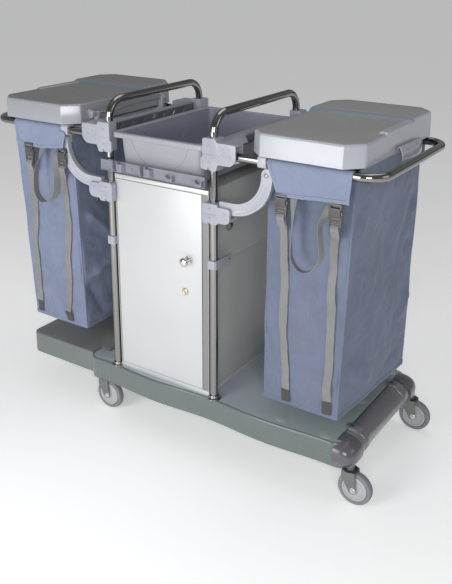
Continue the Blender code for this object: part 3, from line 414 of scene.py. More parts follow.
def stack(rings, closed_ends=True, loop=False):
    """Surface through like outlines [(points, z)], or [points3d]."""
    bm = bmesh.new()
    loops = []
    for ring in rings:
        if isinstance(ring, tuple):
            loops.append([bm.verts.new((x, y, ring[1])) for x, y in ring[0]])
        else:
            loops.append([bm.verts.new(p) for p in ring])
    n = len(loops[0])
    pairs = list(zip(loops, loops[1:])) + ([(loops[-1], loops[0])] if loop else [])
    for a, b in pairs:
        for i in range(n):
            j = (i + 1) % n
            try:
                bm.faces.new((a[i], a[j], b[j], b[i]))
            except ValueError:
                pass
    if closed_ends and not loop:
        bm.faces.new(list(reversed(loops[0])))
        bm.faces.new(loops[-1])
    finish_mesh(bm)
    return temp(bm)


def rounded(points, radii, steps=6):
    out = []
    n = len(points)
    for i in range(n):
        p, q, s = Vector(points[i - 1]), Vector(points[i]), Vector(points[(i + 1) % n])
        r = radii[i] if isinstance(radii, (list, tuple)) else radii
        if r <= 0:
            out.append(tuple(q))
            continue
        d1, d2 = (p - q).normalized(), (s - q).normalized()
        half = math.acos(max(-1.0, min(1.0, d1.dot(d2)))) / 2
        back = r / math.tan(half)
        centre = q + (d1 + d2).normalized() * (r / math.sin(half))
        a, b = q + d1 * back - centre, q + d2 * back - centre
        sweep_angle = math.atan2(a.x * b.y - a.y * b.x, a.dot(b))
        for k in range(steps + 1):
            t = sweep_angle * k / steps
            out.append((centre.x + a.x * math.cos(t) - a.y * math.sin(t),
                        centre.y + a.x * math.sin(t) + a.y * math.cos(t)))
    return out


def bent_path(corners, radius, steps=14, straight=1):
    pts = [Vector(corners[0])]
    for i in range(1, len(corners) - 1):
        p, q, s = (Vector(corners[j]) for j in (i - 1, i, i + 1))
        d1, d2 = (p - q).normalized(), (s - q).normalized()
        half = d1.angle(d2) / 2
        centre = q + (d1 + d2).normalized() * (radius / math.sin(half))
        a = q + d1 * (radius / math.tan(half)) - centre
        b = q + d2 * (radius / math.tan(half)) - centre
        w = a.angle(b)
        for k in range(steps + 1):
            t = k / steps
            pts.append(centre + (a * math.sin((1 - t) * w) + b * math.sin(t * w)) / math.sin(w))
    pts.append(Vector(corners[-1]))
    return pts


def frames(pts, up):
    """Tangent, side and normal at each point, turning as little as it can."""
    out = []
    side = None
    for i, p in enumerate(pts):
        a = pts[max(0, i - 1)]
        b = pts[min(len(pts) - 1, i + 1)]
        t = (b - a).normalized()
        if side is None:
            side = t.cross(up).normalized()
        side = (side - t * side.dot(t)).normalized()
        out.append((t, side, side.cross(t).normalized()))
    return out


def swept(pts, section, up=Vector((0, 0, 1)), sides=None, closed_ends=True, scale=None):
    """A section [(side, normal)] carried along a path."""
    rings = []
    for i, (p, (t, s, n)) in enumerate(zip(pts, frames(pts, up))):
        k = scale(i / (len(pts) - 1)) if scale else 1.0
        rings.append([p + s * u * k + n * v * k for u, v in section])
    bm = bmesh.new()
    loops = [[bm.verts.new(p) for p in ring] for ring in rings]
    m = len(section)
    for a, b in zip(loops, loops[1:]):
        for i in range(m):
            j = (i + 1) % m
            bm.faces.new((a[i], a[j], b[j], b[i]))
    if closed_ends:
        bm.faces.new(list(reversed(loops[0])))
        bm.faces.new(loops[-1])
    finish_mesh(bm)
    return temp(bm)


def circle(r, sides):
    return [(r * math.cos(2 * math.pi * k / sides), r * math.sin(2 * math.pi * k / sides)) for k in range(sides)]


def lathe(profile, sides, centre, axis, closed=False):
    """Solid of revolution. profile: (radius, height). Ends on the axis, or closed."""
    bm = bmesh.new()
    loops = []
    for r, h in profile:
        if r <= 1e-7:
            loops.append([bm.verts.new((0, 0, h))])
        else:
            loops.append([bm.verts.new((r * math.cos(2 * math.pi * k / sides), r * math.sin(2 * math.pi * k / sides), h))
                          for k in range(sides)])
    pairs = list(zip(loops, loops[1:])) + ([(loops[-1], loops[0])] if closed else [])
    for a, b in pairs:
        for i in range(sides):
            j = (i + 1) % sides
            if len(a) == 1 and len(b) == 1:
                continue
            if len(a) == 1:
                bm.faces.new((a[0], b[j], b[i]))
            elif len(b) == 1:
                bm.faces.new((a[i], a[j], b[0]))
            else:
                bm.faces.new((a[i], a[j], b[j], b[i]))
    turn = Vector(axis).to_track_quat("Z", "Y").to_matrix().to_4x4()
    bmesh.ops.transform(bm, matrix=Matrix.Translation(centre) @ turn, verts=bm.verts)
    finish_mesh(bm)
    return temp(bm)


def fillet(profile, r, steps=3):
    """Round the corners of an open (radius, height) profile."""
    out = [profile[0]]
    for i in range(1, len(profile) - 1):
        p, q, s = Vector(profile[i - 1]), Vector(profile[i]), Vector(profile[i + 1])
        k = min(r, (p - q).length * 0.45, (s - q).length * 0.45)
        a, b = q + (p - q).normalized() * k, q + (s - q).normalized() * k
        for j in range(steps + 1):
            t = j / steps
            out.append(tuple(a * (1 - t) ** 2 + q * 2 * t * (1 - t) + b * t ** 2))
    out.append(profile[-1])
    return out


def flip(ob, x=1, y=1):
    """A mirror copy of a working object."""
    mesh = ob.data.copy()
    mesh.transform(Matrix.Diagonal((x, y, 1, 1)))
    if x * y < 0:
        mesh.flip_normals()
    new = bpy.data.objects.new(ob.name + "_m", mesh)
    scene.collection.objects.link(new)
    return new


def make(ob, name, mat, body, replaces=(), smooth=38.0, two=None):
    """Name, place and register a finished piece. two(face) picks the second material."""
    ob.name = name
    mesh = ob.data
    mesh.name = name
    mesh.transform(OFF)
    mesh.materials.clear()
    mats = mat if isinstance(mat, (list, tuple)) else [mat]
    for m in mats:
        mesh.materials.append(m)
    for poly in mesh.polygons:
        poly.material_index = two(poly) if two else 0
    mesh.shade_smooth()
    mesh.set_sharp_from_angle(angle=math.radians(smooth))
    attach(ob, body)
    if replaces:
        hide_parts(*replaces)
    return ob


def quad_set(src, name, mat, body, node, sided=True):
    """The four mirror placings of a front-right piece. body may depend on the end."""
    for side, end in CORNERS:
        x = 1 if end == "right" else -1
        y = 1 if side == "front" else -1
        ob = flip(src, x, y)
        where = body(end) if callable(body) else body
        make(ob, f"{name}_{side}_{end}", mat, where, (f"{node}_{side}_{end}",) if node else ())
    bpy.data.objects.remove(src, do_unlink=True)


def holder(end):
    return "holder_" + end


# ---------------------------------------------------------------- base moulding
def skirt_y(x):
    return 0.2625 + 0.0055 * math.cos(2 * math.pi * (x + 0.03) / 0.42)


def base_outline(inset=0.0, n=90, corner=8, reach=None):
    """Plan of the base; reach is how far the right-hand noses run at this height."""
    lx, rx = NOSE_L + inset, (NOSE_R if reach is None else reach) - inset
    r, rr = max(0.008, 0.036 - inset), max(0.012, 0.040 - inset)
    tight = min(inset, 0.0025)
    front = []
    for i in range(n + 1):
        x = (lx + r + 0.002) + ((rx - rr - 0.002) - (lx + r + 0.002)) * i / n
        front.append((x, -(skirt_y(x) - inset)))
    yl, yr = front[0][1], front[-1][1]
    left = [(lx + r * (1 - math.cos(t)), yl + r * (1 - math.sin(t)))
            for t in [math.pi / 2 * k / corner for k in range(corner)]]
    right = [(rx - rr * (1 - math.cos(t)), yr + rr * (1 - math.sin(t)))
             for t in [math.pi / 2 * (corner - 1 - k) / corner for k in range(corner)]]
    q = min(0.010, 0.5 * r)
    ends_l = [(BASE_L + inset, -(NOSE_IN + inset)), (lx + q, -(NOSE_IN + inset)),
              (lx + 0.3 * q, -(NOSE_IN + inset + 0.3 * q)), (lx, -(NOSE_IN + inset + q))]
    q2 = 0.25 * (rx - BASE_R + tight)
    ends_r = [(rx, -(NOSE_IN + tight + q2)), (rx - 0.3 * q2, -(NOSE_IN + tight + 0.3 * q2)),
              (rx - q2, -(NOSE_IN + tight)), (BASE_R - tight, -(NOSE_IN + tight))]
    half = ends_l + left + front + right + ends_r
    return half + [(x, -y) for x, y in reversed(half)]


def build_base():
    e = 0.0075

    def plan(inset, z):
        return base_outline(inset, reach=NOSE_R - 0.020 * max(0.0, (z - SKIRT_Z) / (DECK_Z - SKIRT_Z)) ** 1.3), z
    rings = [plan(0.006, DECK_Z - 0.006), plan(0.006, SKIRT_Z + 0.0006),
             plan(0.0045, SKIRT_Z), plan(0.0012, SKIRT_Z), plan(0.0, SKIRT_Z + 0.0015),
             plan(-0.0003, SKIRT_Z + 0.010), plan(-0.0004, SKIRT_Z + 0.034)]
    for k in range(9):
        t = math.pi / 2 * k / 8
        rings.append(plan(e * (1 - math.cos(t)), DECK_Z - e + e * math.sin(t)))
    base = stack(rings)
    for x in CASTER_X:
        for y in (-CASTER_Y, CASTER_Y):
            out, high = (0.0130, 0.1560) if x > 0 else (0.0190, DECK_Z - 0.005)
            base = merge(base, lathe(fillet([(0.0105, SKIRT_Z), (out - 0.001, SKIRT_Z), (out, high), (0.0105, high)],
                                            0.001), 24, (x, y, 0), (0, 0, 1), closed=True))

    # Upward faces of the deck take the lighter deck copy (index 1): painted light on the top of the moulding.
    def part(poly):
        up = poly.normal.z > 0.97 and poly.center.z > DECK_Z - FZ - 0.004
        return 1 if up else 0
    make(base, "base_moulding", [M["base"], M["deck"]], "frame", ("base_deck",), 28, part)

    # round plugs let into the deck
    plugs = None
    for x, y in ((0.589, -0.230), (0.591, 0.003), (0.597, 0.226), (0.435, -0.226), (-0.235, -0.222), (-0.235, 0.222)):
        p = lathe(fillet([(0, 0.0013), (0.0120, 0.0013), (0.0125, 0.0008), (0.0165, 0.0008), (0.0180, 0.0012),
                          (0.0192, 0.0), (0.0192, -0.002), (0, -0.002)], 0.0004), 32, (x, y, DECK_Z), (0, 0, 1))
        plugs = p if plugs is None else merge(plugs, p)
    make(plugs, "deck_plugs", M["plug"], "frame")

    # shelf keyed between the left noses
    def outline(i):
        x0, x1, x2 = SHELF_L + i, NOSE_L - 0.0004 - i, BASE_L - 0.0004 - i
        y0, y1 = SHELF_Y - i, NOSE_IN - 0.0004 - i
        return rounded([(x0, -y0), (x1, -y0), (x1, -y1), (x2, -y1), (x2, y1), (x1, y1), (x1, y0), (x0, y0)],
                       [0.026 - i, 0.003, 0.001, 0.001, 0.001, 0.001, 0.003, 0.026 - i], 7)
    top, e = 0.1985, 0.0055
    rings = [(outline(0.0055), top - 0.0055), (outline(0.0055), 0.1206), (outline(0.0040), 0.1200),
             (outline(0.0010), 0.1200), (outline(0.0), 0.1215)]
    for k in range(6):
        t = math.pi / 2 * k / 5
        rings.append((outline(e * (1 - math.cos(t))), top - e + e * math.sin(t)))
    shelf = stack(rings)
    make(shelf, "shelf_moulding", [M["shelf"], M["shelf_top"]], "frame", ("extension_shelf",), 28,
         lambda p: 1 if p.normal.z > 0.97 and p.center.z > 0.17 else 0)


def cover_arc(k, grow=0.0):
    """Half-round section of the end cover, flat side on the deck's end."""
    return [(BASE_R + 0.0006 + (0.0580 * k + grow) * math.cos(t), 0.1580 + (0.0395 * k + grow) * math.sin(t))
            for t in [-math.pi / 2 + math.pi * i / 32 for i in range(33)]]


def build_end_cover():
    rings = []
    for y, k, g in ((-0.1830, 0.90, 0), (-0.1822, 0.955, 0), (-0.1800, 0.988, 0), (-0.1770, 1.0, 0), (-0.1590, 1.0, 0),
                    (-0.1580, 1.0, 0.0022), (-0.1330, 1.0, 0.0022), (-0.1320, 1.0, 0)):
        rings.append([Vector((x, y, z)) for x, z in cover_arc(k, g)])
    rings += [[Vector((v.x, -v.y, v.z)) for v in ring] for ring in reversed(rings)]
    cover = stack(rings)
    cover = soften(cover, 0.0007, 2, 40)
    ears = None
    for y in (-0.152, 0.152):
        ear = prism(rounded([(0.6165, y - 0.0165), (0.6520, y - 0.0165), (0.6520, y + 0.0165), (0.6165, y + 0.0165)],
                            [0.0160, 0.004, 0.004, 0.0160], 8), "XY", DECK_Z + 0.0004, 0.2035)
        web = prism([(0.6300, 0.2000), (0.6520, 0.2033), (0.6640, 0.1925), (0.6540, 0.1830), (0.6300, 0.1840)], "XZ",
                    y - 0.0165, y + 0.0165)
        ears = merge(ear, web) if ears is None else merge(ears, ear, web)
    ears = soften(ears, 0.0014, 2, 35)
    cover = merge(cover, ears)
    make(cover, "end_cover_moulding", M["cover"], "frame", ("end_cover",), 40)
    screws = None
    for y in (-0.152, 0.152):
        s = lathe(fillet([(0, 0.0016), (0.0030, 0.0016), (0.0050, 0.0006), (0.0052, 0.0), (0.0070, 0.0), (0.0070, -0.0008),
                          (0, -0.0008)], 0.0005), 24, (0.634, y, 0.2037), (0, 0, 1))
        s = cut(s, block((0.634 - 0.0026, y - 0.0005, 0.2042), (0.634 + 0.0026, y + 0.0005, 0.2080)),
                block((0.634 - 0.0005, y - 0.0026, 0.2042), (0.634 + 0.0005, y + 0.0026, 0.2080)))
        screws = s if screws is None else merge(screws, s)
    make(screws, "cover_screws", M["dark"], "frame")
    # rounded nose caps beyond the cover, one on each right-hand corner of the base
    stations = [(0.1862, 0.93, 1.0), (0.1868, 0.97, 1.0), (0.1885, 0.992, 1.0), (0.1910, 1.0, 1.0), (0.2000, 1.0, 1.0),
                (0.2105, 1.0, 1.0)]
    for j in range(1, 15):
        a = math.pi / 2 * j / 15
        stations.append((0.2105 + 0.0555 * math.sin(a), math.cos(a) ** 0.62, math.cos(a) ** 0.45))
    rings = []
    for y, k, kx in stations:
        ring = []
        for t in [-math.pi / 2 + math.pi * i / 32 for i in range(33)]:
            c, sn = max(0.0, math.cos(t)), math.sin(t)
            px, pz = (c ** 0.80, sn) if t > 0 else (c ** 0.50, -abs(sn) ** 0.60)
            ring.append(Vector((BASE_R - 0.003 + 0.0655 * kx * px, -y, 0.1582 + (0.0412 if t > 0 else 0.0398) * pz * k)))
        rings.append(ring)
    nose = stack(rings)
    rear = flip(nose, 1, -1)
    # The nose caps take the darker copy of the cover plastic: painted shade.
    make(nose, "nose_cap_front", M["nose"], "frame", (), 34)
    make(rear, "nose_cap_rear", M["nose"], "frame", (), 34)
    # swivel bearing plates under the base
    plates = None
    for x in CASTER_X:
        for y in (-CASTER_Y, CASTER_Y):
            d = lathe(fillet([(0.0102, 0.1192), (0.0225, 0.1192), (0.0235, 0.1184), (0.0225, 0.1177), (0.0102, 0.1177)],
                             0.0003), 36, (x, y, 0), (0, 0, 1), closed=True)
            plates = d if plates is None else merge(plates, d)
    make(plates, "swivel_plates", M["dark"], "frame", (), 40)


# --------------------------------------------------------------- chromed tubing
def build_tubes():
    z0 = DECK_Z + 0.0004
    path = bent_path([(POST_X, -POST_Y, z0), (POST_X, -POST_Y, HOOP_Z), (POST_X, POST_Y, HOOP_Z), (POST_X, POST_Y, z0)],
                     HOOP_BEND, 16)
    right = swept(path, circle(TUBE_R, 36), Vector((1, 0, 0)))
    left = flip(right, -1)
    make(right, "push_hoop_right", M["chrome"], "frame", ("hoop_right",))
    make(left, "push_hoop_left", M["chrome"], "frame", ("hoop_left",))

    path = bent_path([(FOLD_X - 0.011, -LOOP_Y, FOLD_Z), (LOOP_X, -LOOP_Y, FOLD_Z), (LOOP_X, LOOP_Y, FOLD_Z),
                      (FOLD_X - 0.011, LOOP_Y, FOLD_Z)], LOOP_BEND, 16)
    right = swept(path, circle(TUBE_R, 36))
    left = flip(right, -1)
    make(right, "bag_tube_right", M["chrome"], "holder_right", ("bag_loop_right",))
    make(left, "bag_tube_left", M["chrome"], "holder_left", ("bag_loop_left",))

    zb = DECK_Z + 0.0004
    cup = lathe(fillet([(0.0127, zb + 0.0125), (0.0150, zb + 0.0128), (0.0168, zb + 0.0105), (0.0175, zb + 0.0060),
                        (0.0205, zb + 0.0035), (0.0230, zb + 0.0022), (0.0232, zb), (0.0127, zb)], 0.0015, 3),
                40, (POST_X, -POST_Y, 0), (0, 0, 1), closed=True)
    cup = cut(cup, block((0.10, -0.30, 0.10), (CAB_X + 0.0006, -0.20, 0.30)))
    quad_set(cup, "post_cup", M["chrome"], "frame", "post_flange")


# --------------------------------------------------------------------- brackets
BR_F, BR_B = -0.2715, -0.2285


def screw_head(centre, axis, r=0.0042, h=0.0020):
    return lathe(fillet([(0, h), (r * 0.55, h), (r, h * 0.35), (r, -0.001), (0, -0.001)], 0.0006), 18, centre, axis)


def build_brackets():
    pts = [(0.177, 1.046), (0.222, 1.046), (0.226, 1.036), (0.290, 1.036), (0.290, 0.972),
           (0.230, 0.972), (0.222, 0.950), (0.170, 0.954), (0.170, 0.986), (0.177, 0.992)]
    rad = [0.005, 0.003, 0.004, 0.007, 0.027, 0.004, 0.007, 0.007, 0.003, 0.003]
    br = prism(rounded(pts, rad, 6), "XZ", BR_F, BR_B)
    br = cut(br, block((0.15, -0.2632, 0.94), (0.1825, -0.20, 1.06)),
             block((0.2255, -0.2665, 0.90), (0.32, -0.2335, 1.030)))
    # window where the clamp half meets the cheek, and a relief under it
    br = cut(br, prism(rounded([(0.2320, 1.0010), (0.2440, 1.0010), (0.2440, 1.0200), (0.2320, 1.0200)], 0.003, 4), "XZ",
                       -0.2730, -0.2705))
    br = cut(br, block((0.1700, -0.2730, 0.9995), (0.2215, -0.2706, 1.0008)),
             prism([(0.1930, 0.940), (0.2060, 0.940), (0.2045, 0.9600), (0.1945, 0.9600)], "XZ", -0.2730, -0.2655))
    br = soften(br, 0.0014, 3, 35)
    br = cut(br, pin((POST_X, -POST_Y, 0.90), (POST_X, -POST_Y, 1.10), TUBE_R + 0.0003, 36))
    quad_set(br, "top_clamp", M["bracket"], "frame", "top_bracket")
    cheek = merge(pin((FOLD_X, BR_F - 0.0012, FOLD_Z), (FOLD_X, BR_F + 0.004, FOLD_Z), 0.0062, 24, chamfer=0.0007),
                  pin((FOLD_X, BR_B - 0.004, FOLD_Z), (FOLD_X, BR_B + 0.0012, FOLD_Z), 0.0062, 24, chamfer=0.0007),
                  pin((FOLD_X, BR_F, FOLD_Z), (FOLD_X, BR_B, FOLD_Z), 0.0040, 16),
                  screw_head((0.2000, BR_F, 1.0230), (0, -1, 0)), screw_head((0.2000, BR_F, 0.9750), (0, -1, 0)))
    quad_set(cheek, "loop_pin", M["bracket"], "frame", None)

    pts = [(0.175, 0.852), (0.226, 0.852), (0.229, 0.845), (0.271, 0.845), (0.271, 0.797),
           (0.230, 0.797), (0.224, 0.789), (0.175, 0.789)]
    rad = [0.008, 0.003, 0.003, 0.008, 0.018, 0.003, 0.005, 0.008]
    br = prism(rounded(pts, rad, 6), "XZ", BR_F, BR_B)
    br = cut(br, block((0.15, -0.2490, 0.77), (0.1818, -0.20, 0.87)),
             block((0.2255, -0.2612, 0.813), (0.30, -0.2388, 0.90)),
             block((0.1700, -0.2730, 0.8198), (0.2240, -0.2706, 0.8211)),
             prism([(0.1930, 0.780), (0.2060, 0.780), (0.2045, 0.7960), (0.1945, 0.7960)], "XZ", -0.2730, -0.2655))
    br = soften(br, 0.0014, 3, 35)
    br = cut(br, pin((POST_X, -POST_Y, 0.70), (POST_X, -POST_Y, 0.90), TUBE_R + 0.0003, 36))
    quad_set(br, "lower_clamp", M["bracket"], "frame", "lower_bracket")
    pins = merge(pin((0.2520, BR_F - 0.0012, 0.8280), (0.2520, BR_F + 0.004, 0.8280), 0.0058, 24, chamfer=0.0007),
                 screw_head((0.2000, BR_F, 0.8360), (0, -1, 0)), screw_head((0.2000, BR_F, 0.8060), (0, -1, 0)))
    quad_set(pins, "arm_stop_screws", M["bracket"], "frame", None)
    hook = prism(rounded([(0.2440, 0.8000), (0.2660, 0.8000), (0.2670, 0.7900), (0.2585, 0.7750), (0.2515, 0.7750),
                          (0.2490, 0.7860)], [0.002, 0.002, 0.004, 0.004, 0.003, 0.003], 4), "XZ", -0.2570, -0.2430)
    hook = soften(hook, 0.0012, 2, 35)
    quad_set(hook, "release_hook", M["dark"], "frame", None)


def build_beams():
    y1, y2, y3 = 0.126, 0.170, 0.2275
    plan = [(0.2122, -y3), (0.284, -y3), (0.284, -0.196), (0.262, -y2), (0.232, -y1),
            (0.232, y1), (0.262, y2), (0.284, 0.196), (0.284, y3), (0.2122, y3)]
    beam = prism(rounded(plan, [0, 0.003, 0.014, 0.014, 0.024, 0.024, 0.014, 0.014, 0.003, 0], 6), "XY", 1.0305, 1.036)
    web = prism([(-y3, 0.9965), (y3, 0.9965), (y3, 1.0310), (-y3, 1.0310)], "YZ", 0.2122, 0.2160)
    ledge = block((0.1660, -0.2200, 0.9965), (0.2140, 0.2200, 1.0005))
    join(beam, web, ledge)
    for k in range(-3, 4):
        if k:
            yc = k * 0.058
            cut(beam, prism(rounded([(yc - 0.017, 1.006), (yc - 0.008, 1.006), (yc + 0.010, 1.025), (yc + 0.001, 1.025)],
                                    0.003, 4), "YZ", 0.205, 0.225))
    soften(beam, 0.0010, 2, 40)
    # ribs that stiffen the cap plate underneath
    for y in (-0.205, -0.150, 0.150, 0.205):
        beam = merge(beam, soften(prism([(0.2150, 1.0320), (0.2560, 1.0320), (0.2150, 1.0080)], "XZ", y - 0.0015, y + 0.0015),
                                  0.0005, 1, 40))
    left = flip(beam, -1)

    def cap(poly):
        return 1 if poly.center.z + FZ > 1.0300 and poly.normal.z > -0.5 else 0
    make(beam, "cross_beam_right", [M["beam"], M["beam_cap"]], "frame", ("side_beam_right",), 38, cap)
    make(left, "cross_beam_left", [M["beam"], M["beam_cap"]], "frame", ("side_beam_left",), 38, cap)
    boss = lathe(fillet([(0, 0.0045), (0.0050, 0.0045), (0.0060, 0.0030), (0.0092, 0.0030), (0.0095, -0.0010), (0, -0.0010)],
                        0.0008), 28, (0.2122, 0, 1.0165), (-1, 0, 0))
    ring = None
    for k in range(6):
        a = math.radians(60 * k)
        d = pin((0.2080, 0.0155 * math.cos(a), 1.0165 + 0.0105 * math.sin(a)),
                (0.2125, 0.0155 * math.cos(a), 1.0165 + 0.0105 * math.sin(a)), 0.0020, 12, chamfer=0.0004)
        ring = d if ring is None else merge(ring, d)
    boss = merge(boss, ring)
    left = flip(boss, -1)
    make(boss, "beam_boss_right", M["rail"], "frame")
    make(left, "beam_boss_left", M["rail"], "frame")


def build_rail():
    rail = prism(rounded([(-0.2700, 0.8935), (-0.2630, 0.8935), (-0.2630, 0.9290), (-0.2700, 0.9290)], 0.002, 3), "YZ",
                 -0.2170, 0.1830)
    lip = prism(rounded([(-0.2735, 0.9262), (-0.2630, 0.9262), (-0.2630, 0.9290), (-0.2735, 0.9290)],
                        [0.001, 0, 0, 0.001], 2), "YZ", -0.2165, 0.1825)
    foot = prism(rounded([(-0.2730, 0.8935), (-0.2630, 0.8935), (-0.2630, 0.8958), (-0.2730, 0.8958)],
                         [0.001, 0, 0, 0.001], 2), "YZ", -0.2165, 0.1825)
    join(rail, lip, foot)
    for x0, x1 in ((-0.2130, -0.1860), (0.1595, 0.1825)):
        join(rail, block((x0, -0.2650, 0.8980), (x1, -0.2568, 0.9240)))
    for xc in (-0.158, -0.048):
        for dx, lean in ((0.0, -1), (0.019, 1)):
            join(rail, prism(rounded([(-0.2850, 0.8990), (-0.2680, 0.8950), (-0.2680, 0.9300), (-0.2850, 0.9290)],
                                     [0.005, 0, 0, 0.006], 4), "YZ", xc + dx - 0.0026, xc + dx + 0.0026))
        join(rail, prism(rounded([(xc + 0.0165, -0.2690), (xc + 0.0440, -0.2690), (xc + 0.0350, -0.2840),
                                  (xc + 0.0165, -0.2840)], [0, 0.001, 0.005, 0.001], 4), "XY", 0.8990, 0.9240))
    for xc in (0.0610, 0.1680):
        join(rail, prism([(xc - 0.0125, 0.9170), (xc - 0.0125, 0.8990), (xc + 0.0125, 0.8990), (xc + 0.0125, 0.9170),
                          (xc + 0.0060, 0.9080), (xc - 0.0060, 0.9080)], "XZ", -0.2835, -0.2690))
    soften(rail, 0.0010, 2, 40)
    make(rail, "tool_rail_moulding", M["rail"], "frame", ("tool_rail",))
    screws = merge(screw_head((-0.1985, -0.2700, 0.9113), (0, -1, 0)), screw_head((0.1400, -0.2700, 0.9113), (0, -1, 0)),
                   screw_head((-0.0900, -0.2700, 0.9113), (0, -1, 0)))
    make(screws, "rail_screws", M["rail"], "frame")

    clip = prism(rounded([(0.1835, -0.2605), (0.2145, -0.2605), (0.2145, -0.1700), (0.2080, -0.1700), (0.2080, -0.2270),
                          (0.1835, -0.2270)], [0.006, 0.008, 0.003, 0.001, 0.004, 0.003], 5), "XY", 0.6400, 0.6680)
    soften(clip, 0.0012, 2, 40)
    cut(clip, pin((POST_X, -POST_Y, 0.6), (POST_X, -POST_Y, 0.7), TUBE_R + 0.0003, 36))
    left = flip(clip, -1)
    make(clip, "post_keeper_right", M["bracket"], "frame", ("post_clip_right",))
    make(left, "post_keeper_left", M["bracket"], "frame", ("post_clip_left",))
    s = screw_head((0.2145, -0.188, 0.654), (1, 0, 0), 0.0052, 0.0026)
    t = flip(s, -1)
    make(s, "keeper_screw_right", M["steel"], "frame")
    make(t, "keeper_screw_left", M["steel"], "frame")


# ---------------------------------------------------------------------- cabinet
def build_cabinet():
    mid = 0.629
    xl, xr = DOOR_L - 0.0025, DOOR_R + 0.0020
    body = block((-CAB_X, CAB_F, CAB_Z0), (CAB_X, CAB_B, CAB_Z1))
    cut(body, block((xl, -0.30, DOOR_Z0 - 0.0010), (xr, CAB_F + DOOR_T + 0.0110, DOOR_Z1 + 0.0010)),
        block((xl, -0.30, DOOR_Z0 - 0.0010), (CAB_X - 0.0030, CAB_B - 0.003, mid - 0.003)),
        block((xl, -0.30, mid + 0.003), (CAB_X - 0.0030, CAB_B - 0.003, DOOR_Z1 + 0.0010)))
    join(body, block((xr, CAB_F, DOOR_Z0 - 0.002), (CAB_X - 0.001, CAB_F + 0.018, DOOR_Z1 + 0.002)))
    # a double seam round the outside at the shelf, and a folded foot
    for z in (mid + 0.0042, mid - 0.0042):
        for x in (-CAB_X, CAB_X):
            cut(body, block((x - 0.0006, -0.226, z - 0.0008), (x + 0.0006, CAB_B + 0.01, z + 0.0008)))
        cut(body, block((-0.19, CAB_B - 0.0006, z - 0.0008), (0.19, CAB_B + 0.0006, z + 0.0008)))
    for x in (-CAB_X, CAB_X):
        cut(body, block((x - 0.0006, -0.2265, CAB_Z0 - 0.01), (x + 0.0006, -0.2250, CAB_Z1 + 0.01)),
            block((x - 0.0005, -0.2250, DOOR_Z0 - 0.0010), (x + 0.0005, CAB_B + 0.01, DOOR_Z0 + 0.0005)))
    soften(body, 0.0007, 2, 40)

    # Index 2, the dark copy, goes on the right-hand upright and the front edges of the sides: painted shade on
    # aluminium like the trim.
    def part(poly):
        c, n = poly.center, poly.normal
        y, z, x = c.y, c.z + FZ, c.x + CX
        if y < CAB_F + 0.0008 and abs(n.y) > 0.5:
            return 2 if (x > xr - 0.001) else 1
        if abs(x) > CAB_X - 0.0006 and y < -0.2265:
            return 2
        if abs(x) > CAB_X - 0.0006 and z < DOOR_Z0 - 0.001:
            return 1
        if y < -0.2280 and x > xr - 0.002 and abs(n.x) > 0.5:
            return 2
        return 0
    make(body, "cabinet_shell", [M["panel"], M["trim"], M["frame_painted_shade"]], "frame", ("cabinet_body",), 38, part)

    door = block((DOOR_L, CAB_F, DOOR_Z0 + 0.0004), (DOOR_R - 0.0006, CAB_F + DOOR_T, DOOR_Z1 - 0.0010))
    soften(door, 0.0009, 3, 40)
    # The door's edge faces take the dark copy: painted shade.
    make(door, "door_panel", [M["door"], M["frame_painted_shade"]], "door", ("cabinet_door",), 38,
         lambda p: 0 if p.normal.y < -0.6 or p.normal.y > 0.9 else 1)

    y = CAB_F - 0.0004
    knob = lathe(fillet([(0, 0.0310), (0.0050, 0.0307), (0.0094, 0.0288), (0.0121, 0.0255), (0.0127, 0.0215),
                         (0.0120, 0.0175), (0.0098, 0.0140), (0.0070, 0.0115), (0.0058, 0.0090), (0.0056, 0.0040),
                         (0.0064, 0.0026), (0.0108, 0.0022), (0.0112, 0.0), (0, 0.0)], 0.0012, 3),
                 40, (0.104, y, 0.646), (0, -1, 0))
    knob.data.transform(Matrix.Translation((0.104, y, 0.646)) @ Matrix.Diagonal((1.17, 1.0, 1.17, 1)) @ Matrix.Translation((-0.104, -y, -0.646)))
    make(knob, "door_knob_turned", M["knob"], "door", ("door_knob",), 50)
    lock = lathe(fillet([(0, 0.0034), (0.0048, 0.0034), (0.0052, 0.0042), (0.0074, 0.0042), (0.0090, 0.0028), (0.0096, 0.0),
                         (0, 0.0)], 0.0006, 3), 40, (0.093, y, 0.539), (0, -1, 0))
    cut(lock, block((0.093 - 0.0007, y - 0.008, 0.539 - 0.0032), (0.093 + 0.0007, y - 0.0012, 0.539 + 0.0032)),
        pin((0.093, y - 0.008, 0.5372), (0.093, y - 0.0012, 0.5372), 0.0013, 12))
    lock.data.transform(Matrix.Translation((0.093, y, 0.539)) @ Matrix.Diagonal((1.22, 1.0, 1.22, 1)) @ Matrix.Translation((-0.093, -y, -0.539)))
    make(lock, "lock_barrel", M["brass"], "lock", ("lock_cylinder",), 45)
    rod = pin((-0.160, -0.2435, CAB_Z0 + 0.0065), (-0.160, -0.2435, CAB_Z1 - 0.0035), 0.0020, 16, chamfer=0.0003)
    make(rod, "door_rod", M["steel"], "frame", ("door_pivot_rod",))


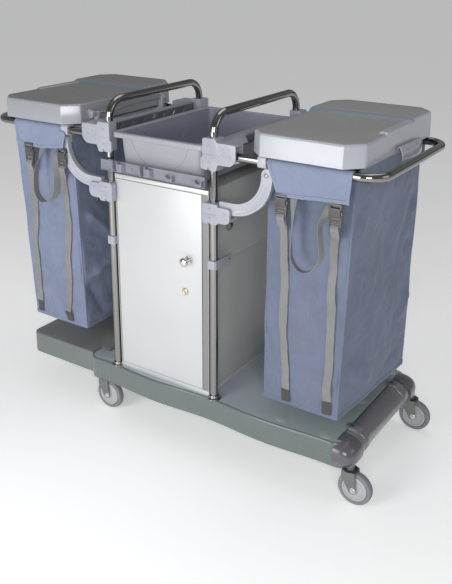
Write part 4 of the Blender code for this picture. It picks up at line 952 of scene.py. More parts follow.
# ------------------------------------------------------------------------- tray
def build_tray():
    def ring(hx, hy, r):
        return rounded([(-hx, -hy), (hx, -hy), (hx, hy), (-hx, hy)], r, 10)
    t = 0.003
    rings = []

    def wall(z, inset):
        """Half sizes of the outer wall at height z."""
        k = (z - TRAY_Z0) / (TRAY_Z1 - TRAY_Z0)
        return 0.1505 + 0.0080 * k - inset, 0.2400 + 0.0078 * k - inset
    # inside, from the floor up
    for k in range(5):
        a = math.pi / 2 * k / 4
        r = 0.006
        hx, hy = wall(TRAY_Z0 + t + r * (1 - math.cos(a)), t + r * (1 - math.sin(a)))
        rings.append((ring(hx, hy, 0.016 + 0.004 * math.sin(a)), TRAY_Z0 + t + r * (1 - math.cos(a))))
    hx, hy = wall(0.960, t)
    rings.append((ring(hx, hy, 0.021), 0.960))
    hx, hy = wall(TRAY_Z1 - 0.0025, t)
    rings.append((ring(hx, hy, 0.022), TRAY_Z1 - 0.0025))
    rings.append((ring(hx + 0.0007, hy + 0.0007, 0.0227), TRAY_Z1 - 0.0007))
    rings.append((ring(hx + 0.0025, hy + 0.0025, 0.0245), TRAY_Z1))
    for k in range(5):
        a = math.pi / 2 * k / 4
        r = 0.004
        rings.append((ring(TRAY_RX - r + r * math.sin(a), TRAY_RY - r + r * math.sin(a), 0.022 + 0.004 * math.sin(a)),
                      TRAY_Z1 - r + r * math.cos(a)))
    rings.append((ring(TRAY_RX, TRAY_RY, 0.026), 1.0030))
    rings.append((ring(TRAY_RX - 0.0010, TRAY_RY - 0.0010, 0.025), 1.0018))
    rings.append((ring(TRAY_RX - 0.0028, TRAY_RY - 0.0028, 0.0232), 1.0022))
    rings.append((ring(TRAY_RX - 0.0028, TRAY_RY - 0.0028, 0.0232), TRAY_Z1 - 0.0035))
    hx, hy = wall(TRAY_Z1 - 0.0035, 0)
    rings.append((ring(hx + 0.0015, hy + 0.0015, 0.0255), TRAY_Z1 - 0.0035))
    rings.append((ring(hx, hy, 0.024), TRAY_Z1 - 0.0050))
    hx, hy = wall(0.930, 0)
    rings.append((ring(hx, hy, 0.024), 0.930))
    for k in range(6):
        a = math.pi / 2 * k / 5
        r = 0.009
        z = TRAY_Z0 + r * (1 - math.sin(a))
        hx, hy = wall(z, r * (1 - math.cos(a)))
        rings.append((ring(hx, hy, 0.024 - 0.006 * (1 - math.cos(a))), z))
    tray = stack(rings)
    # moulded half-round lines on the outside and inside of the walls
    lines = None

    def arc_line(fn, r):
        pts = [fn(math.pi * k / 40) for k in range(41)]
        return swept(pts, circle(r, 8), Vector((0.3, 0.2, 1)))
    r0, rr = 0.108, 0.0012
    for side in (-1, 1):
        for face, off in ((1, 0.0), (-1, -t)):
            for along in ("x", "y"):
                top = TRAY_Z1 - (0.006 if off == 0.0 else 0.004)

                def fn(a, along=along, side=side, off=off, top=top):
                    u = r0 * math.cos(a)
                    z = top - 0.096 * math.sin(a)
                    hx, hy = wall(z, 0)
                    if along == "x":
                        return Vector((u, side * (hy + off), z))
                    return Vector((side * (hx + off), u * 1.15, z))
                line = arc_line(fn, rr)
                lines = line if lines is None else merge(lines, line)
    tray = merge(tray, lines)
    # Inner wall faces and the floor take the darker copy (index 1): painted shade inside the tray.
    def side_of(poly):
        x, y, z, n = poly.center.x + CX, poly.center.y, poly.center.z + FZ, poly.normal
        if z > TRAY_Z1 - 0.0045 and n.z > -0.2:
            return 0
        inside = abs(x) < 0.1605 and abs(y) < 0.2500
        return 1 if inside and (n.x * x < -0.02 * abs(x) or n.y * y < -0.02 * abs(y) or n.z > 0.5) else 0
    make(tray, "tray_bin", [M["tray"], M["tray_painted_shade"]], "tray", ("tray",), 32, side_of)


# ------------------------------------------------------- arms and hinge castings
def build_arms():
    cx, cz = ARM_C
    ro, ri = ARM_R + ARM_W / 2, ARM_R - ARM_W / 2
    end = math.radians(1.5)
    outer = [(cx + ro * math.cos(t), cz + ro * math.sin(t))
             for t in [-math.pi / 2 + (end + math.pi / 2) * k / 30 for k in range(31)]]
    inner = [(cx + ri * math.cos(t), cz + ri * math.sin(t))
             for t in [end - (end + math.pi / 2) * k / 26 for k in range(27)]]
    ex, ez, r = BOLT[0], BOLT[1], ARM_W / 2
    eye = [(ex + r * math.cos(t), ez + r * math.sin(t)) for t in [math.radians(15 + 150 * k / 14) for k in range(15)]]
    tail = [(0.2300, cz - ri), (0.2275, cz - ri - 0.004), (0.2275, cz - ro + 0.006), (0.2315, cz - ro)]
    arm = prism(outer + eye + inner + tail, "XZ", -0.2600, -0.2415)

    def band(a0, a1, inset, y0, y1, n=24):
        o = [(cx + (ro - inset) * math.cos(t), cz + (ro - inset) * math.sin(t))
             for t in [math.radians(a0 + (a1 - a0) * k / n) for k in range(n + 1)]]
        i = [(cx + (ri + inset) * math.cos(t), cz + (ri + inset) * math.sin(t))
             for t in [math.radians(a1 - (a1 - a0) * k / n) for k in range(n + 1)]]
        return prism(o + i, "XZ", y0, y1)
    cut(arm, band(-88, -10, 0.0075, -0.27, -0.2584), band(-88, -10, 0.0075, -0.2431, -0.23))
    soften(arm, 0.0018, 3, 40)
    # raised line along the middle of the web
    arm = merge(arm, soften(band(-84, -14, 0.0163, -0.2592, -0.2560), 0.0004, 1, 40))
    quad_set(arm, "brace_band", M["arm"], holder, "brace_arm")

    bolt = merge(lathe(fillet([(0, 0.0046), (0.0032, 0.0046), (0.0062, 0.0032), (0.0068, 0.0010), (0.0095, 0.0010),
                               (0.0095, -0.0006), (0, -0.0006)], 0.0006), 26, (ex, -0.2600, ez), (0, -1, 0)),
                 pin((ex, -0.2600, ez), (ex, -0.2380, ez), 0.0032, 16))
    quad_set(bolt, "brace_bolt", M["steel"], holder, None)


def build_hinge_frames():
    bar = block((0.344, -0.2368, 0.986), (0.366, 0.2368, 1.010))
    cut(bar, block((0.3475, -0.2200, 0.980), (0.3625, -0.0040, 1.0068)), block((0.3475, 0.0040, 0.980), (0.3625, 0.2200, 1.0068)))
    for s in (-1, 1):
        y0, y1 = sorted((s * 0.2350, s * 0.2680))
        clasp = prism(rounded([(y0, 0.9818), (y1, 0.9818), (y1, 1.0180), (y0, 1.0180)], 0.010, 5), "YZ", 0.360, 0.386)
        join(bar, clasp)
        y0, y1 = sorted((s * 0.2352, s * 0.2408))
        join(bar, prism(rounded([(0.3700, 0.9835), (0.3700, 0.9500), (0.3985, 0.9500), (0.3985, 0.9720), (0.3860, 0.9835)],
                                [0.0, 0.012, 0.012, 0.006, 0.0], 5), "XZ", y0, y1))
        y0, y1 = sorted((s * LUG_Y, s * (LUG_Y + 0.012)))
        join(bar, prism(rounded([(0.3080, 0.9960), (0.3460, 0.9880), (0.3460, 1.0080), (0.3240, 1.0130), (0.3240, 1.0530),
                                 (0.3080, 1.0530)], [0.006, 0, 0, 0.006, 0.0075, 0.0075], 6), "XZ", y0, y1))
    soften(bar, 0.0012, 3, 40)
    for s in (-1, 1):
        cut(bar, pin((0.33, s * LOOP_Y, FOLD_Z), (0.42, s * LOOP_Y, FOLD_Z), TUBE_R + 0.0002, 36),
            pin((LID_AXIS[0], s * 0.15, LID_AXIS[1]), (LID_AXIS[0], s * 0.19, LID_AXIS[1]), 0.0031, 20))
    left = flip(bar, -1)
    make(bar, "hinge_casting_right", M["arm"], "holder_right", ("hinge_frame_right",))
    make(left, "hinge_casting_left", M["arm"], "holder_left", ("hinge_frame_left",))
    end = LUG_Y + 0.036
    rod = pin((LID_AXIS[0], -end, LID_AXIS[1]), (LID_AXIS[0], end, LID_AXIS[1]), 0.0028, 20, chamfer=0.0005)
    other = flip(rod, -1)
    make(rod, "lid_rod_right", M["steel"], "holder_right", ("lid_pin_right",))
    make(other, "lid_rod_left", M["steel"], "holder_left", ("lid_pin_left",))


def build_lids():
    x0, x1, hy, t = LID_IN, LID_OUT, LID_Y, LID_T
    ri, ro = 0.042, 0.064

    def plan(i, y0=None, f=True):
        """Outline with chamfered corners, drawn in by i; y0 starts it at the step."""
        co, ci = 0.0455, 0.0470
        g = 0.4142 * i
        back = [(x1 - i, hy - co - g), (x1 - co - g, hy - i), (x0 + ci + g, hy - i), (x0 + i, hy - ci - g)]
        rad = [0.016, 0.004, 0.004, 0.010]
        if y0 is None:
            front = [(x0 + i, -hy + ci + g), (x0 + ci + g, -hy + i), (x1 - co - g, -hy + i), (x1 - i, -hy + co + g)]
            return rounded(front + back, [0.010, 0.004, 0.004, 0.016] + rad, 5)
        return rounded([(x0 + i, y0), (x1 - i, y0)] + back, [0.002, 0.002] + rad, 5)
    rings = [(plan(0.0), LID_Z0), (plan(0.0003), LID_Z0 + 0.010), (plan(0.0016), LID_Z1 - 0.0062),
             (plan(0.0022), LID_Z1 - 0.0048), (plan(0.0062), LID_Z1 - 0.0006), (plan(0.0076), LID_Z1 - 0.0001),
             (plan(0.030), LID_Z1 + 0.0006)]
    lid = stack(rings)
    # raised rear part of the top, reached by a short ramp
    up = LID_Z1 + LID_STEP
    join(lid, stack([(plan(0.0018, 0.0830), LID_Z1 - 0.0080), (plan(0.0022, 0.0860), LID_Z1 + 0.0006),
                     (plan(0.0030, 0.0950), up - 0.0048), (plan(0.0066, 0.0985), up - 0.0006),
                     (plan(0.0082, 0.1000), up - 0.0001), (plan(0.030, 0.1230), up + 0.0005)]))
    # low shoulder along the outer edge, forward of the step
    shoulder = stack([(rounded([(x1 - 0.034 - g, -0.1010 - g), (x1 - 0.0020 - i, -0.1010 - g), (x1 - 0.0020 - i, 0.110),
                                (x1 - 0.034 - g, 0.110)], [0.006, 0.003, 0.0, 0.0], 4), z)
                      for i, g, z in ((0.0, 0.002, LID_Z1 - 0.010), (0.0, 0.0, LID_Z1 + 0.0006),
                                      (0.0006, -0.003, LID_Z1 + 0.0016), (0.0046, -0.0065, LID_Z1 + 0.0046))])
    join(lid, shoulder)
    inner, inner2 = plan(t), plan(t + 0.006)
    cut(lid, stack([(inner, LID_Z0 - 0.02), (inner, LID_Z1 - t - 0.008), (inner2, LID_Z1 - t - 0.002)]))
    # hollow finger grip on the outer skirt: an arched shell, open below and at its front end
    outer = [(0.6640, 1.0250), (0.6690, 1.0335), (0.6740, 1.0390), (0.6785, 1.0412), (0.6828, 1.0385), (0.6868, 1.0315),
             (0.6898, 1.0220), (0.6915, 1.0120), (0.6920, 1.0030)]
    thick = 0.0026
    inner_side = [(x - thick * 0.8, z - thick * 0.75) for x, z in outer[1:-1]]
    section = outer + [(0.6894, 1.0030)] + list(reversed(inner_side)) + [(0.6640, 1.0215)]
    rings = []
    for j in range(23):
        y = -0.0470 + 0.1950 * j / 22
        k = 1.0 if y < 0.060 else max(0.16, math.cos((y - 0.060) / 0.090 * math.pi / 2) ** 0.55)
        lean = 0.0060 * ease((y + 0.047) / 0.10)
        ring = []
        for x, z in section:
            zz = 1.0030 + (z - 1.0030) * (0.55 + 0.45 * k) - lean * (1.0 if z < 1.02 else 0.4)
            xx = 0.6640 + (x - 0.6640) * (k if x > 0.6665 else 1.0)
            ring.append(Vector((xx, y + 0.004 * (x - 0.664) / 0.028, zz)))
        rings.append(ring)
    grip = stack(rings)
    grip = soften(grip, 0.0007, 2, 40)
    for s in (-1, 1):
        y0, y1 = sorted((s * (LUG_Y + 0.0135), s * (LUG_Y + 0.0345)))
        ear = prism(rounded([(0.3085, 1.0375), (0.3285, 1.0300), (0.3285, 1.0620), (0.3085, 1.0525)],
                            [0.0068, 0, 0, 0.0068], 6), "XZ", y0, y1)
        join(lid, soften(ear, 0.0009, 2, 40))
        cut(lid, pin((LID_AXIS[0], y0 - 0.01, LID_AXIS[1]), (LID_AXIS[0], y1 + 0.01, LID_AXIS[1]), 0.0031, 20))
    soften(lid, 0.0009, 2, 26)
    lid = merge(lid, grip)
    left = flip(lid, -1)

    # Flat upward faces take index 1, the darker top copy: painted shade on the top. The ramp faces take index 2.
    def top(poly):
        x, y, z, n = abs(poly.center.x + CX), poly.center.y, poly.center.z + FZ, poly.normal
        if z < LID_Z1 - 0.004:
            return 0
        if 0.084 < y < 0.101 and n.y < -0.3 and n.z > 0.2:
            return 2
        if x > x1 - 0.034 and -0.101 < y < 0.100 and z > LID_Z1 + 0.0010 and z < LID_Z1 + 0.0060:
            return 0
        return 1 if n.z > 0.93 else 0
    make(lid, "lid_moulding_right", [M["lid"], M["lid_upper_painted_shade"], M["lid_ramp"]], "lid_right", ("lid_right",), 26, top)
    # The left lid takes the darker copies: painted shade.
    make(left, "lid_moulding_left", [M["lid_left"], M["lid_left_top"], M["lid_ramp"]], "lid_left", ("lid_left",), 26, top)


# ---------------------------------------------------------------------- casters
def build_caster(tag, sx, sy):
    wx, hw = sx + TRAIL, WHEEL_W / 2
    leg_in, leg_t = hw + 0.0035, 0.0022
    crown = prism(rounded([(sx - 0.0215, sy - leg_in - leg_t), (sx + 0.0215, sy - leg_in - leg_t),
                           (sx + 0.0215, sy + leg_in + leg_t), (sx - 0.0215, sy + leg_in + leg_t)], 0.004, 5), "XY",
                  0.1148, 0.1175)
    for s in (-1, 1):
        y0, y1 = sorted((sy + s * leg_in, sy + s * (leg_in + leg_t)))
        leg = prism(rounded([(sx - 0.0210, 0.1165), (sx - 0.0210, 0.0980), (wx - 0.0100, AXLE_Z - 0.0125),
                             (wx + 0.0100, AXLE_Z - 0.0125), (sx + 0.0210, 0.0960), (sx + 0.0210, 0.1165)],
                            [0.001, 0.014, 0.0098, 0.0098, 0.012, 0.001], 6), "XZ", y0, y1)
        join(crown, leg)
    soften(crown, 0.0007, 2, 40)
    crown = merge(crown, lathe(fillet([(0, 0.1600), (0.0085, 0.1600), (0.0095, 0.1580), (0.0095, 0.1150), (0, 0.1150)],
                                      0.0006), 24, (sx, sy, 0), (0, 0, 1)))
    make(crown, "caster_fork_" + tag, M["fork"], "fork_" + tag, ("fork_" + tag,))
    r = WHEEL_R
    tyre = lathe([(r - 0.0125, hw - 0.0035), (r - 0.0105, hw - 0.0020), (r - 0.0060, hw - 0.0010), (r - 0.0030, hw - 0.0022),
                  (r - 0.0012, hw - 0.0045), (r - 0.0003, hw - 0.0080), (r, 0), (r - 0.0003, -hw + 0.0080),
                  (r - 0.0012, -hw + 0.0045), (r - 0.0030, -hw + 0.0022), (r - 0.0060, -hw + 0.0010),
                  (r - 0.0105, -hw + 0.0020), (r - 0.0125, -hw + 0.0035)], 56, (wx, sy, AXLE_Z), (0, -1, 0), closed=True)
    make(tyre, "tyre_tread_" + tag, M["tyre"], "wheel_" + tag, ("tyre_" + tag,), 45)
    ri = r - 0.0135
    side = [(0.0046, hw), (0.0100, hw), (0.0106, hw - 0.0010), (0.0112, hw - 0.0030), (0.0135, hw - 0.0036),
            (0.0142, hw - 0.0026), (0.0158, hw - 0.0024), (0.0168, hw - 0.0034), (0.0250, hw - 0.0042),
            (0.0258, hw - 0.0034), (0.0274, hw - 0.0032), (0.0284, hw - 0.0044), (0.0320, hw - 0.0042),
            (0.0334, hw - 0.0020), (ri - 0.0016, hw - 0.0018), (ri, hw - 0.0032)]
    hub = lathe(side + [(a, -b) for a, b in reversed(side)], 64, (wx, sy, AXLE_Z), (0, -1, 0), closed=True)
    make(hub, "hub_" + tag, M["hub"], "wheel_" + tag, ("wheel_hub_" + tag,), 28)
    # dark seat between the hub and the tyre
    ring = None
    for s in (-1, 1):
        d = lathe([(ri + 0.0001, 0.0003), (ri + 0.0022, 0.0003), (ri + 0.0022, -0.0022), (ri + 0.0001, -0.0022)], 56,
                  (wx, sy + s * (hw - 0.0052), AXLE_Z), (0, s, 0), closed=True)
        ring = d if ring is None else merge(ring, d)
    make(ring, "hub_ring_" + tag, M["dark"], "wheel_" + tag, (), 40)
    tip = leg_in + leg_t + 0.0048
    axle = pin((wx, sy - tip + 0.002, AXLE_Z), (wx, sy + tip - 0.002, AXLE_Z), 0.0038, 20, chamfer=0.0005)
    for s in (-1, 1):
        nut = pin((wx, sy + s * (leg_in + leg_t + 0.0004), AXLE_Z), (wx, sy + s * (tip - 0.0004), AXLE_Z), 0.0072, 6,
                  chamfer=0.0007)
        washer = pin((wx, sy + s * (leg_in + leg_t), AXLE_Z), (wx, sy + s * (leg_in + leg_t + 0.0009), AXLE_Z), 0.0088, 28,
                     chamfer=0.0003)
        end = lathe(fillet([(0, 0.0022), (0.0030, 0.0018), (0.0040, 0.0), (0, -0.001)], 0.0004), 20,
                    (wx, sy + s * (tip - 0.0006), AXLE_Z), (0, s, 0))
        axle = merge(axle, nut, washer, end)
    make(axle, "axle_set_" + tag, M["bright"], "wheel_" + tag, ("axle_" + tag,))


# ------------------------------------------------------------------- soft goods
def ease(t):
    t = max(0.0, min(1.0, t))
    return t * t * (3 - 2 * t)


def lerp_list(table, z):
    """Value at z from a table of (z, value), smooth between."""
    table = sorted(table)
    if z <= table[0][0]:
        return table[0][1]
    for (z0, v0), (z1, v1) in zip(table, table[1:]):
        if z <= z1:
            return v0 + (v1 - v0) * ease((z - z0) / (z1 - z0))
    return table[-1][1]


def crease(u, v, a, b, width, depth):
    """Height of a fold along the line a-b in a face's flat coordinates."""
    dx, dy = b[0] - a[0], b[1] - a[1]
    t = max(0.0, min(1.0, ((u - a[0]) * dx + (v - a[1]) * dy) / (dx * dx + dy * dy)))
    d = math.hypot(u - a[0] - dx * t, v - a[1] - dy * t)
    if d > width * 3.2:
        return 0.0
    return depth * ease(min(t, 1 - t) * 4.0 + 0.15) * math.exp(-(d / width) ** 1.5)


# folds: (start, end, half width, height), in metres, x or y across and z up
FOLDS = {
    ("right", "front"): [((0.375, 0.66), (0.470, 0.44), 0.016, 0.0040), ((0.630, 0.74), (0.540, 0.50), 0.018, 0.0030),
                         ((0.515, 0.34), (0.520, 0.70), 0.020, 0.0045), ((0.375, 0.50), (0.430, 0.36), 0.012, -0.0040),
                         ((0.620, 0.40), (0.560, 0.28), 0.014, 0.0035), ((0.470, 0.30), (0.545, 0.27), 0.010, -0.0025),
                         ((0.378, 0.80), (0.410, 0.62), 0.014, 0.0040), ((0.600, 0.62), (0.632, 0.54), 0.010, -0.0030)],
    ("right", "outer"): [((-0.200, 0.88), (-0.060, 0.60), 0.030, 0.0045), ((0.200, 0.86), (0.090, 0.62), 0.026, -0.0050),
                         ((0.215, 0.70), (0.150, 0.66), 0.016, -0.0060), ((0.215, 0.52), (0.120, 0.44), 0.018, 0.0050),
                         ((-0.190, 0.42), (-0.060, 0.30), 0.022, 0.0035), ((0.060, 0.30), (0.190, 0.36), 0.020, -0.0035),
                         ((0.215, 0.80), (0.180, 0.78), 0.014, 0.0050)],
    ("left", "front"): [((0.378, 0.60), (0.470, 0.42), 0.018, 0.0045), ((0.625, 0.70), (0.530, 0.46), 0.018, 0.0040),
                        ((0.500, 0.32), (0.495, 0.72), 0.020, 0.0045), ((0.385, 0.36), (0.470, 0.27), 0.014, 0.0045),
                        ((0.600, 0.36), (0.560, 0.28), 0.012, -0.0035)],
    ("left", "inner"): [((-0.200, 0.70), (-0.020, 0.52), 0.022, 0.0090), ((-0.205, 0.44), (0.030, 0.52), 0.020, 0.0100),
                        ((-0.200, 0.42), (-0.120, 0.27), 0.020, -0.0080), ((-0.100, 0.30), (0.050, 0.46), 0.026, -0.0090),
                        ((-0.190, 0.86), (-0.060, 0.66), 0.024, -0.0060), ((0.000, 0.78), (0.120, 0.54), 0.026, 0.0070)],
}


SHORT = {"right": 1.0, "left": 0.964}


def hung(end, z):
    """Real height of the point that the pattern puts at z."""
    return BAG_Z1 - (BAG_Z1 - z) * SHORT[end]


def bag_base(z):
    t = (z - BAG_Z0) / 0.759
    return 0.364 + 0.011 * t, 0.628 + 0.017 * t, 0.218 + 0.0145 * t


def slew(x, y, z):
    """The bottom of the sack hangs turned a little: sideways shift at a point."""
    t = max(0.0, min(1.0, (z - BAG_Z0) / 0.759))
    return 0.0135 * (x - 0.364) / 0.264 * (y / 0.218) * (1 - t)


def bag_push(end, face, u, z):
    """How far a face of a bag stands out at (u, z)."""
    x0, x1, yh = bag_base(z)
    lo, hi = (x0, x1) if face in ("front", "back") else (-yh, yh)
    k = max(0.0, min(1.0, (u - lo) / (hi - lo)))
    span = math.sin(math.pi * k) ** 0.8 if 0 < k < 1 else 0.0
    t = (z - BAG_Z0) / 0.759
    low = math.exp(-((t - 0.20) / 0.26) ** 2)
    mid = math.exp(-((t - 0.62) / 0.20) ** 2)
    size = {"front": (0.0085, -0.0020), "back": (0.008, -0.002), "outer": (0.0110, -0.0050), "inner": (0.010, -0.006)}[face]
    out = span * (size[0] * low + size[1] * mid)
    for a, b, w, h in FOLDS.get((end, face), []):
        out += crease(u, z, a, b, w, h * 1.9)
    seed = {"front": 1.7, "back": 5.1, "outer": 9.3, "inner": 13.9}[face] + (40.0 if end == "left" else 0.0)
    n1 = noise.noise(Vector((u * 9.0, seed, z * 3.6)))
    n2 = noise.noise(Vector((u * 22.0 + z * 6.0, seed + 20, z * 13.0 - u * 5.0)))
    n3 = 1.0 - abs(noise.noise(Vector((u * 30.0 - z * 12.0, seed + 31, z * 26.0 + u * 14.0)))) * 2.2
    n4 = noise.noise(Vector((u * 95.0, seed + 47, z * 80.0)))
    damp = min(1.0, 8.0 * min(k, 1 - k) + 0.10)
    out += damp * (0.0050 * n1 + 0.0044 * n2 + 0.0019 * n3 + 0.00060 * n4)
    return out * (0.35 + 0.65 * min(1.0, (1.0 - t) * 9.0)) * min(1.0, 0.25 + t * 14.0)


def bag_point(end, place, z):
    """place: (face, k) along a face from 0 to 1, or ("corner", i, a) round a corner."""
    x0, x1, yh = bag_base(z)
    r = 0.008
    t = (z - BAG_Z0) / 0.759
    hem = 0.0016 * ease((BAG_Z0 + 0.0165 - z) / 0.002)
    if place[0] == "corner":
        _, i, a = place
        cx, cy = [(x1 - r, -yh + r), (x1 - r, yh - r), (x0 + r, yh - r), (x0 + r, -yh + r)][i]
        ang = math.radians(-90 + 90 * i + a)
        sway = 0.0040 * noise.noise(Vector((i * 7.3 + (3.1 if end == "left" else 0), 2.0, z * 7.0)))
        sway *= min(1.0, (1 - t) * 8.0) * min(1.0, t * 10.0 + 0.3)
        pinch = 0.0021 * math.exp(-((a - 45.0) / 15.0) ** 2)
        d = r + pinch + hem + sway
        return Vector((cx + d * math.cos(ang), cy + d * math.sin(ang), z))
    face, k = place
    if face == "front":
        x = x0 + r + (x1 - x0 - 2 * r) * k
        return Vector((x, -yh - bag_push(end, face, x, z) - hem, z))
    if face == "back":
        x = x1 - r - (x1 - x0 - 2 * r) * k
        return Vector((x, yh + bag_push(end, face, x, z) + hem, z))
    if face == "outer":
        y = -yh + r + (2 * yh - 2 * r) * k
        return Vector((x1 + bag_push(end, face, y, z) + hem, y, z))
    y = yh - r - (2 * yh - 2 * r) * k
    return Vector((x0 - bag_push(end, face, y, z) - hem, y, z))


def front_y(end, x, z):
    """Front surface of the bag at x (measured as on the right-hand bag)."""
    z = BAG_Z1 - (BAG_Z1 - z) / SHORT[end]
    x = x - slew(x, -0.218, z)
    _, _, yh = bag_base(z)
    return -yh - bag_push(end, "front", x, z)


def build_bag(end):
    sx = 1 if end == "right" else -1
    places = []
    for i, (face, count) in enumerate((("front", 56), ("outer", 84), ("back", 40), ("inner", 84))):
        places += [(face, j / count) for j in range(count + 1)]
        # corners come after front (0), outer (1), back (2), inner (3)
        places += [("corner", i, a) for a in (9, 20, 31, 38, 45, 52, 59, 70, 81)]
    heights = [BAG_Z0, BAG_Z0 + 0.003, BAG_Z0 + 0.009, BAG_Z0 + 0.0145, BAG_Z0 + 0.0155, BAG_Z0 + 0.0165, BAG_Z0 + 0.0180]
    n = 132
    heights += [BAG_Z0 + 0.022 + (BAG_Z1 - BAG_Z0 - 0.022) * k / n for k in range(n + 1)]
    bm = bmesh.new()
    rings = []
    for z in heights:
        ring = []
        for place in places:
            p = bag_point(end, place, z)
            ring.append(bm.verts.new((p.x + slew(p.x, p.y, p.z), p.y, hung(end, p.z))))
        rings.append(ring)
    m = len(places)
    for a, b in zip(rings, rings[1:]):
        for i in range(m):
            j = (i + 1) % m
            bm.faces.new((a[i], a[j], b[j], b[i]))
    # floor panel, in rings towards its middle
    last = rings[0]
    x0, x1, yh = bag_base(BAG_Z0)
    floor_z = hung(end, BAG_Z0)
    c = Vector(((x0 + x1) / 2, 0, floor_z))
    for s in (0.985, 0.95, 0.85, 0.70, 0.5, 0.25, 0.06):
        ring = []
        for v in rings[0]:
            p = c + (v.co - c) * s
            dip = -0.0015 if s > 0.96 else -0.0030 - 0.006 * (1 - s) + 0.002 * noise.noise(p * 16)
            p.z = floor_z + dip
            ring.append(bm.verts.new(p))
        for i in range(m):
            j = (i + 1) % m
            bm.faces.new((ring[i], ring[j], last[j], last[i]))
        last = ring
    bm.faces.new(last)
    finish_mesh(bm)
    ob = temp(bm)
    # an open sack: make the outside face out, then give the cloth its thickness inwards
    me = ob.data
    low = min(me.polygons, key=lambda f: f.center.z)
    if low.normal.z > 0:
        me.flip_normals()
    mod = ob.modifiers.new("cloth", "SOLIDIFY")
    mod.thickness = 0.0022
    mod.offset = -1.0
    bake(ob)
    if sx < 0:
        ob2 = flip(ob, -1)
        bpy.data.objects.remove(ob, do_unlink=True)
        ob = ob2
    # The right bag takes the darker cloth copy: painted shade.
    make(ob, "bag_sack_" + end, M["fabric_right_painted_shade" if end == "right" else "fabric"], holder(end), ("bag_" + end,), 60)

    # rolled binding round the mouth between the two tubes
    pts = []
    for k in range(25):
        y = -0.222 + 0.444 * k / 24
        pts.append(Vector((0.6440 + 0.0016 * math.sin(k * 0.9), y, BAG_Z1 + 0.0010 * math.sin(k * 1.3))))
    bind = swept(pts, [(0.0022 * math.cos(a), 0.0042 * math.sin(a)) for a in [math.pi * 2 * k / 12 for k in range(12)]],
                 Vector((0, 0, 1)))
    pts = [Vector((0.3755 - 0.0010 * math.sin(k), -0.222 + 0.444 * k / 24, BAG_Z1 - 0.004)) for k in range(25)]
    bind = merge(bind, swept(pts, [(0.0022 * math.cos(a), 0.0042 * math.sin(a))
                                   for a in [math.pi * 2 * k / 12 for k in range(12)]], Vector((0, 0, 1))))
    if sx < 0:
        b2 = flip(bind, -1)
        bpy.data.objects.remove(bind, do_unlink=True)
        bind = b2
    # The right binding takes the darker cloth copy too: painted shade.
    make(bind, "bag_binding_" + end, M["fabric_right_painted_shade" if end == "right" else "fabric"], holder(end), (), 60)


def ribbon(points, wide, width, thick, name_up=None, round_edge=0.3, fine=3):
    """A flat strap: points with a width direction at each, thickness to both sides."""
    rings = []
    n = len(points)
    for i, p in enumerate(points):
        a, b = points[max(0, i - 1)], points[min(n - 1, i + 1)]
        t = (b - a).normalized()
        w = wide[i] - t * wide[i].dot(t)
        w.normalize()
        q = t.cross(w).normalized()
        hw, ht = width / 2, thick / 2
        sec = [(-hw, -ht * round_edge), (-hw + ht * 0.5, -ht), (-hw * 0.5, -ht), (0, -ht), (hw * 0.5, -ht), (hw - ht * 0.5, -ht),
               (hw, -ht * round_edge), (hw, ht * round_edge), (hw - ht * 0.5, ht), (hw * 0.5, ht), (0, ht), (-hw * 0.5, ht),
               (-hw + ht * 0.5, ht), (-hw, ht * round_edge)]
        rings.append([p + w * u + q * v for u, v in sec])
    return stack(rings)


def spline(points, count):
    """Catmull-Rom through 3-D points."""
    pts = [Vector(p) for p in points]
    pts = [pts[0] * 2 - pts[1]] + pts + [pts[-1] * 2 - pts[-2]]
    out = []
    segs = len(pts) - 3
    for i in range(count + 1):
        t = i / count * segs
        k = min(segs - 1, int(t))
        f = t - k
        p0, p1, p2, p3 = pts[k:k + 4]
        out.append(0.5 * (2 * p1 + (p2 - p0) * f + (2 * p0 - 5 * p1 + 4 * p2 - p3) * f * f
                          + (3 * p1 - p0 - 3 * p2 + p3) * f ** 3))
    return out


def stitches(runs, r=0.00042, length=0.0036, gap=0.0022, lift=0.0002):
    """Rows of thread stitches along runs of (points, normal)."""
    bm = bmesh.new()
    for pts, normal in runs:
        total = 0.0
        marks = [0.0]
        for a, b in zip(pts, pts[1:]):
            total += (b - a).length
            marks.append(total)

        def at(s):
            for i in range(len(marks) - 1):
                if s <= marks[i + 1]:
                    f = (s - marks[i]) / max(1e-9, marks[i + 1] - marks[i])
                    return pts[i].lerp(pts[i + 1], f)
            return pts[-1]
        s = gap
        while s + length < total:
            a, m_, b = at(s), at(s + length / 2), at(s + length)
            t = (b - a).normalized()
            side = t.cross(normal).normalized()
            up = side.cross(t).normalized()
            if up.dot(normal) < 0:
                up = -up
            rows = []
            for f, k, h in ((0.0, 0.35, -r * 0.8), (0.14, 0.9, 0.0), (0.5, 1.0, r * 0.5), (0.86, 0.9, 0.0), (1.0, 0.35, -r * 0.8)):
                p = a.lerp(b, f) + up * (lift + h)
                rows.append([bm.verts.new(p + side * (r * k * math.cos(q)) + up * (r * k * math.sin(q)))
                             for q in [2 * math.pi * j / 6 for j in range(6)]])
            for x, y in zip(rows, rows[1:]):
                for j in range(6):
                    bm.faces.new((x[j], x[(j + 1) % 6], y[(j + 1) % 6], y[j]))
            bm.faces.new(rows[0])
            bm.faces.new(rows[-1])
            s += length + gap
    bmesh.ops.recalc_face_normals(bm, faces=bm.faces)
    return temp(bm)


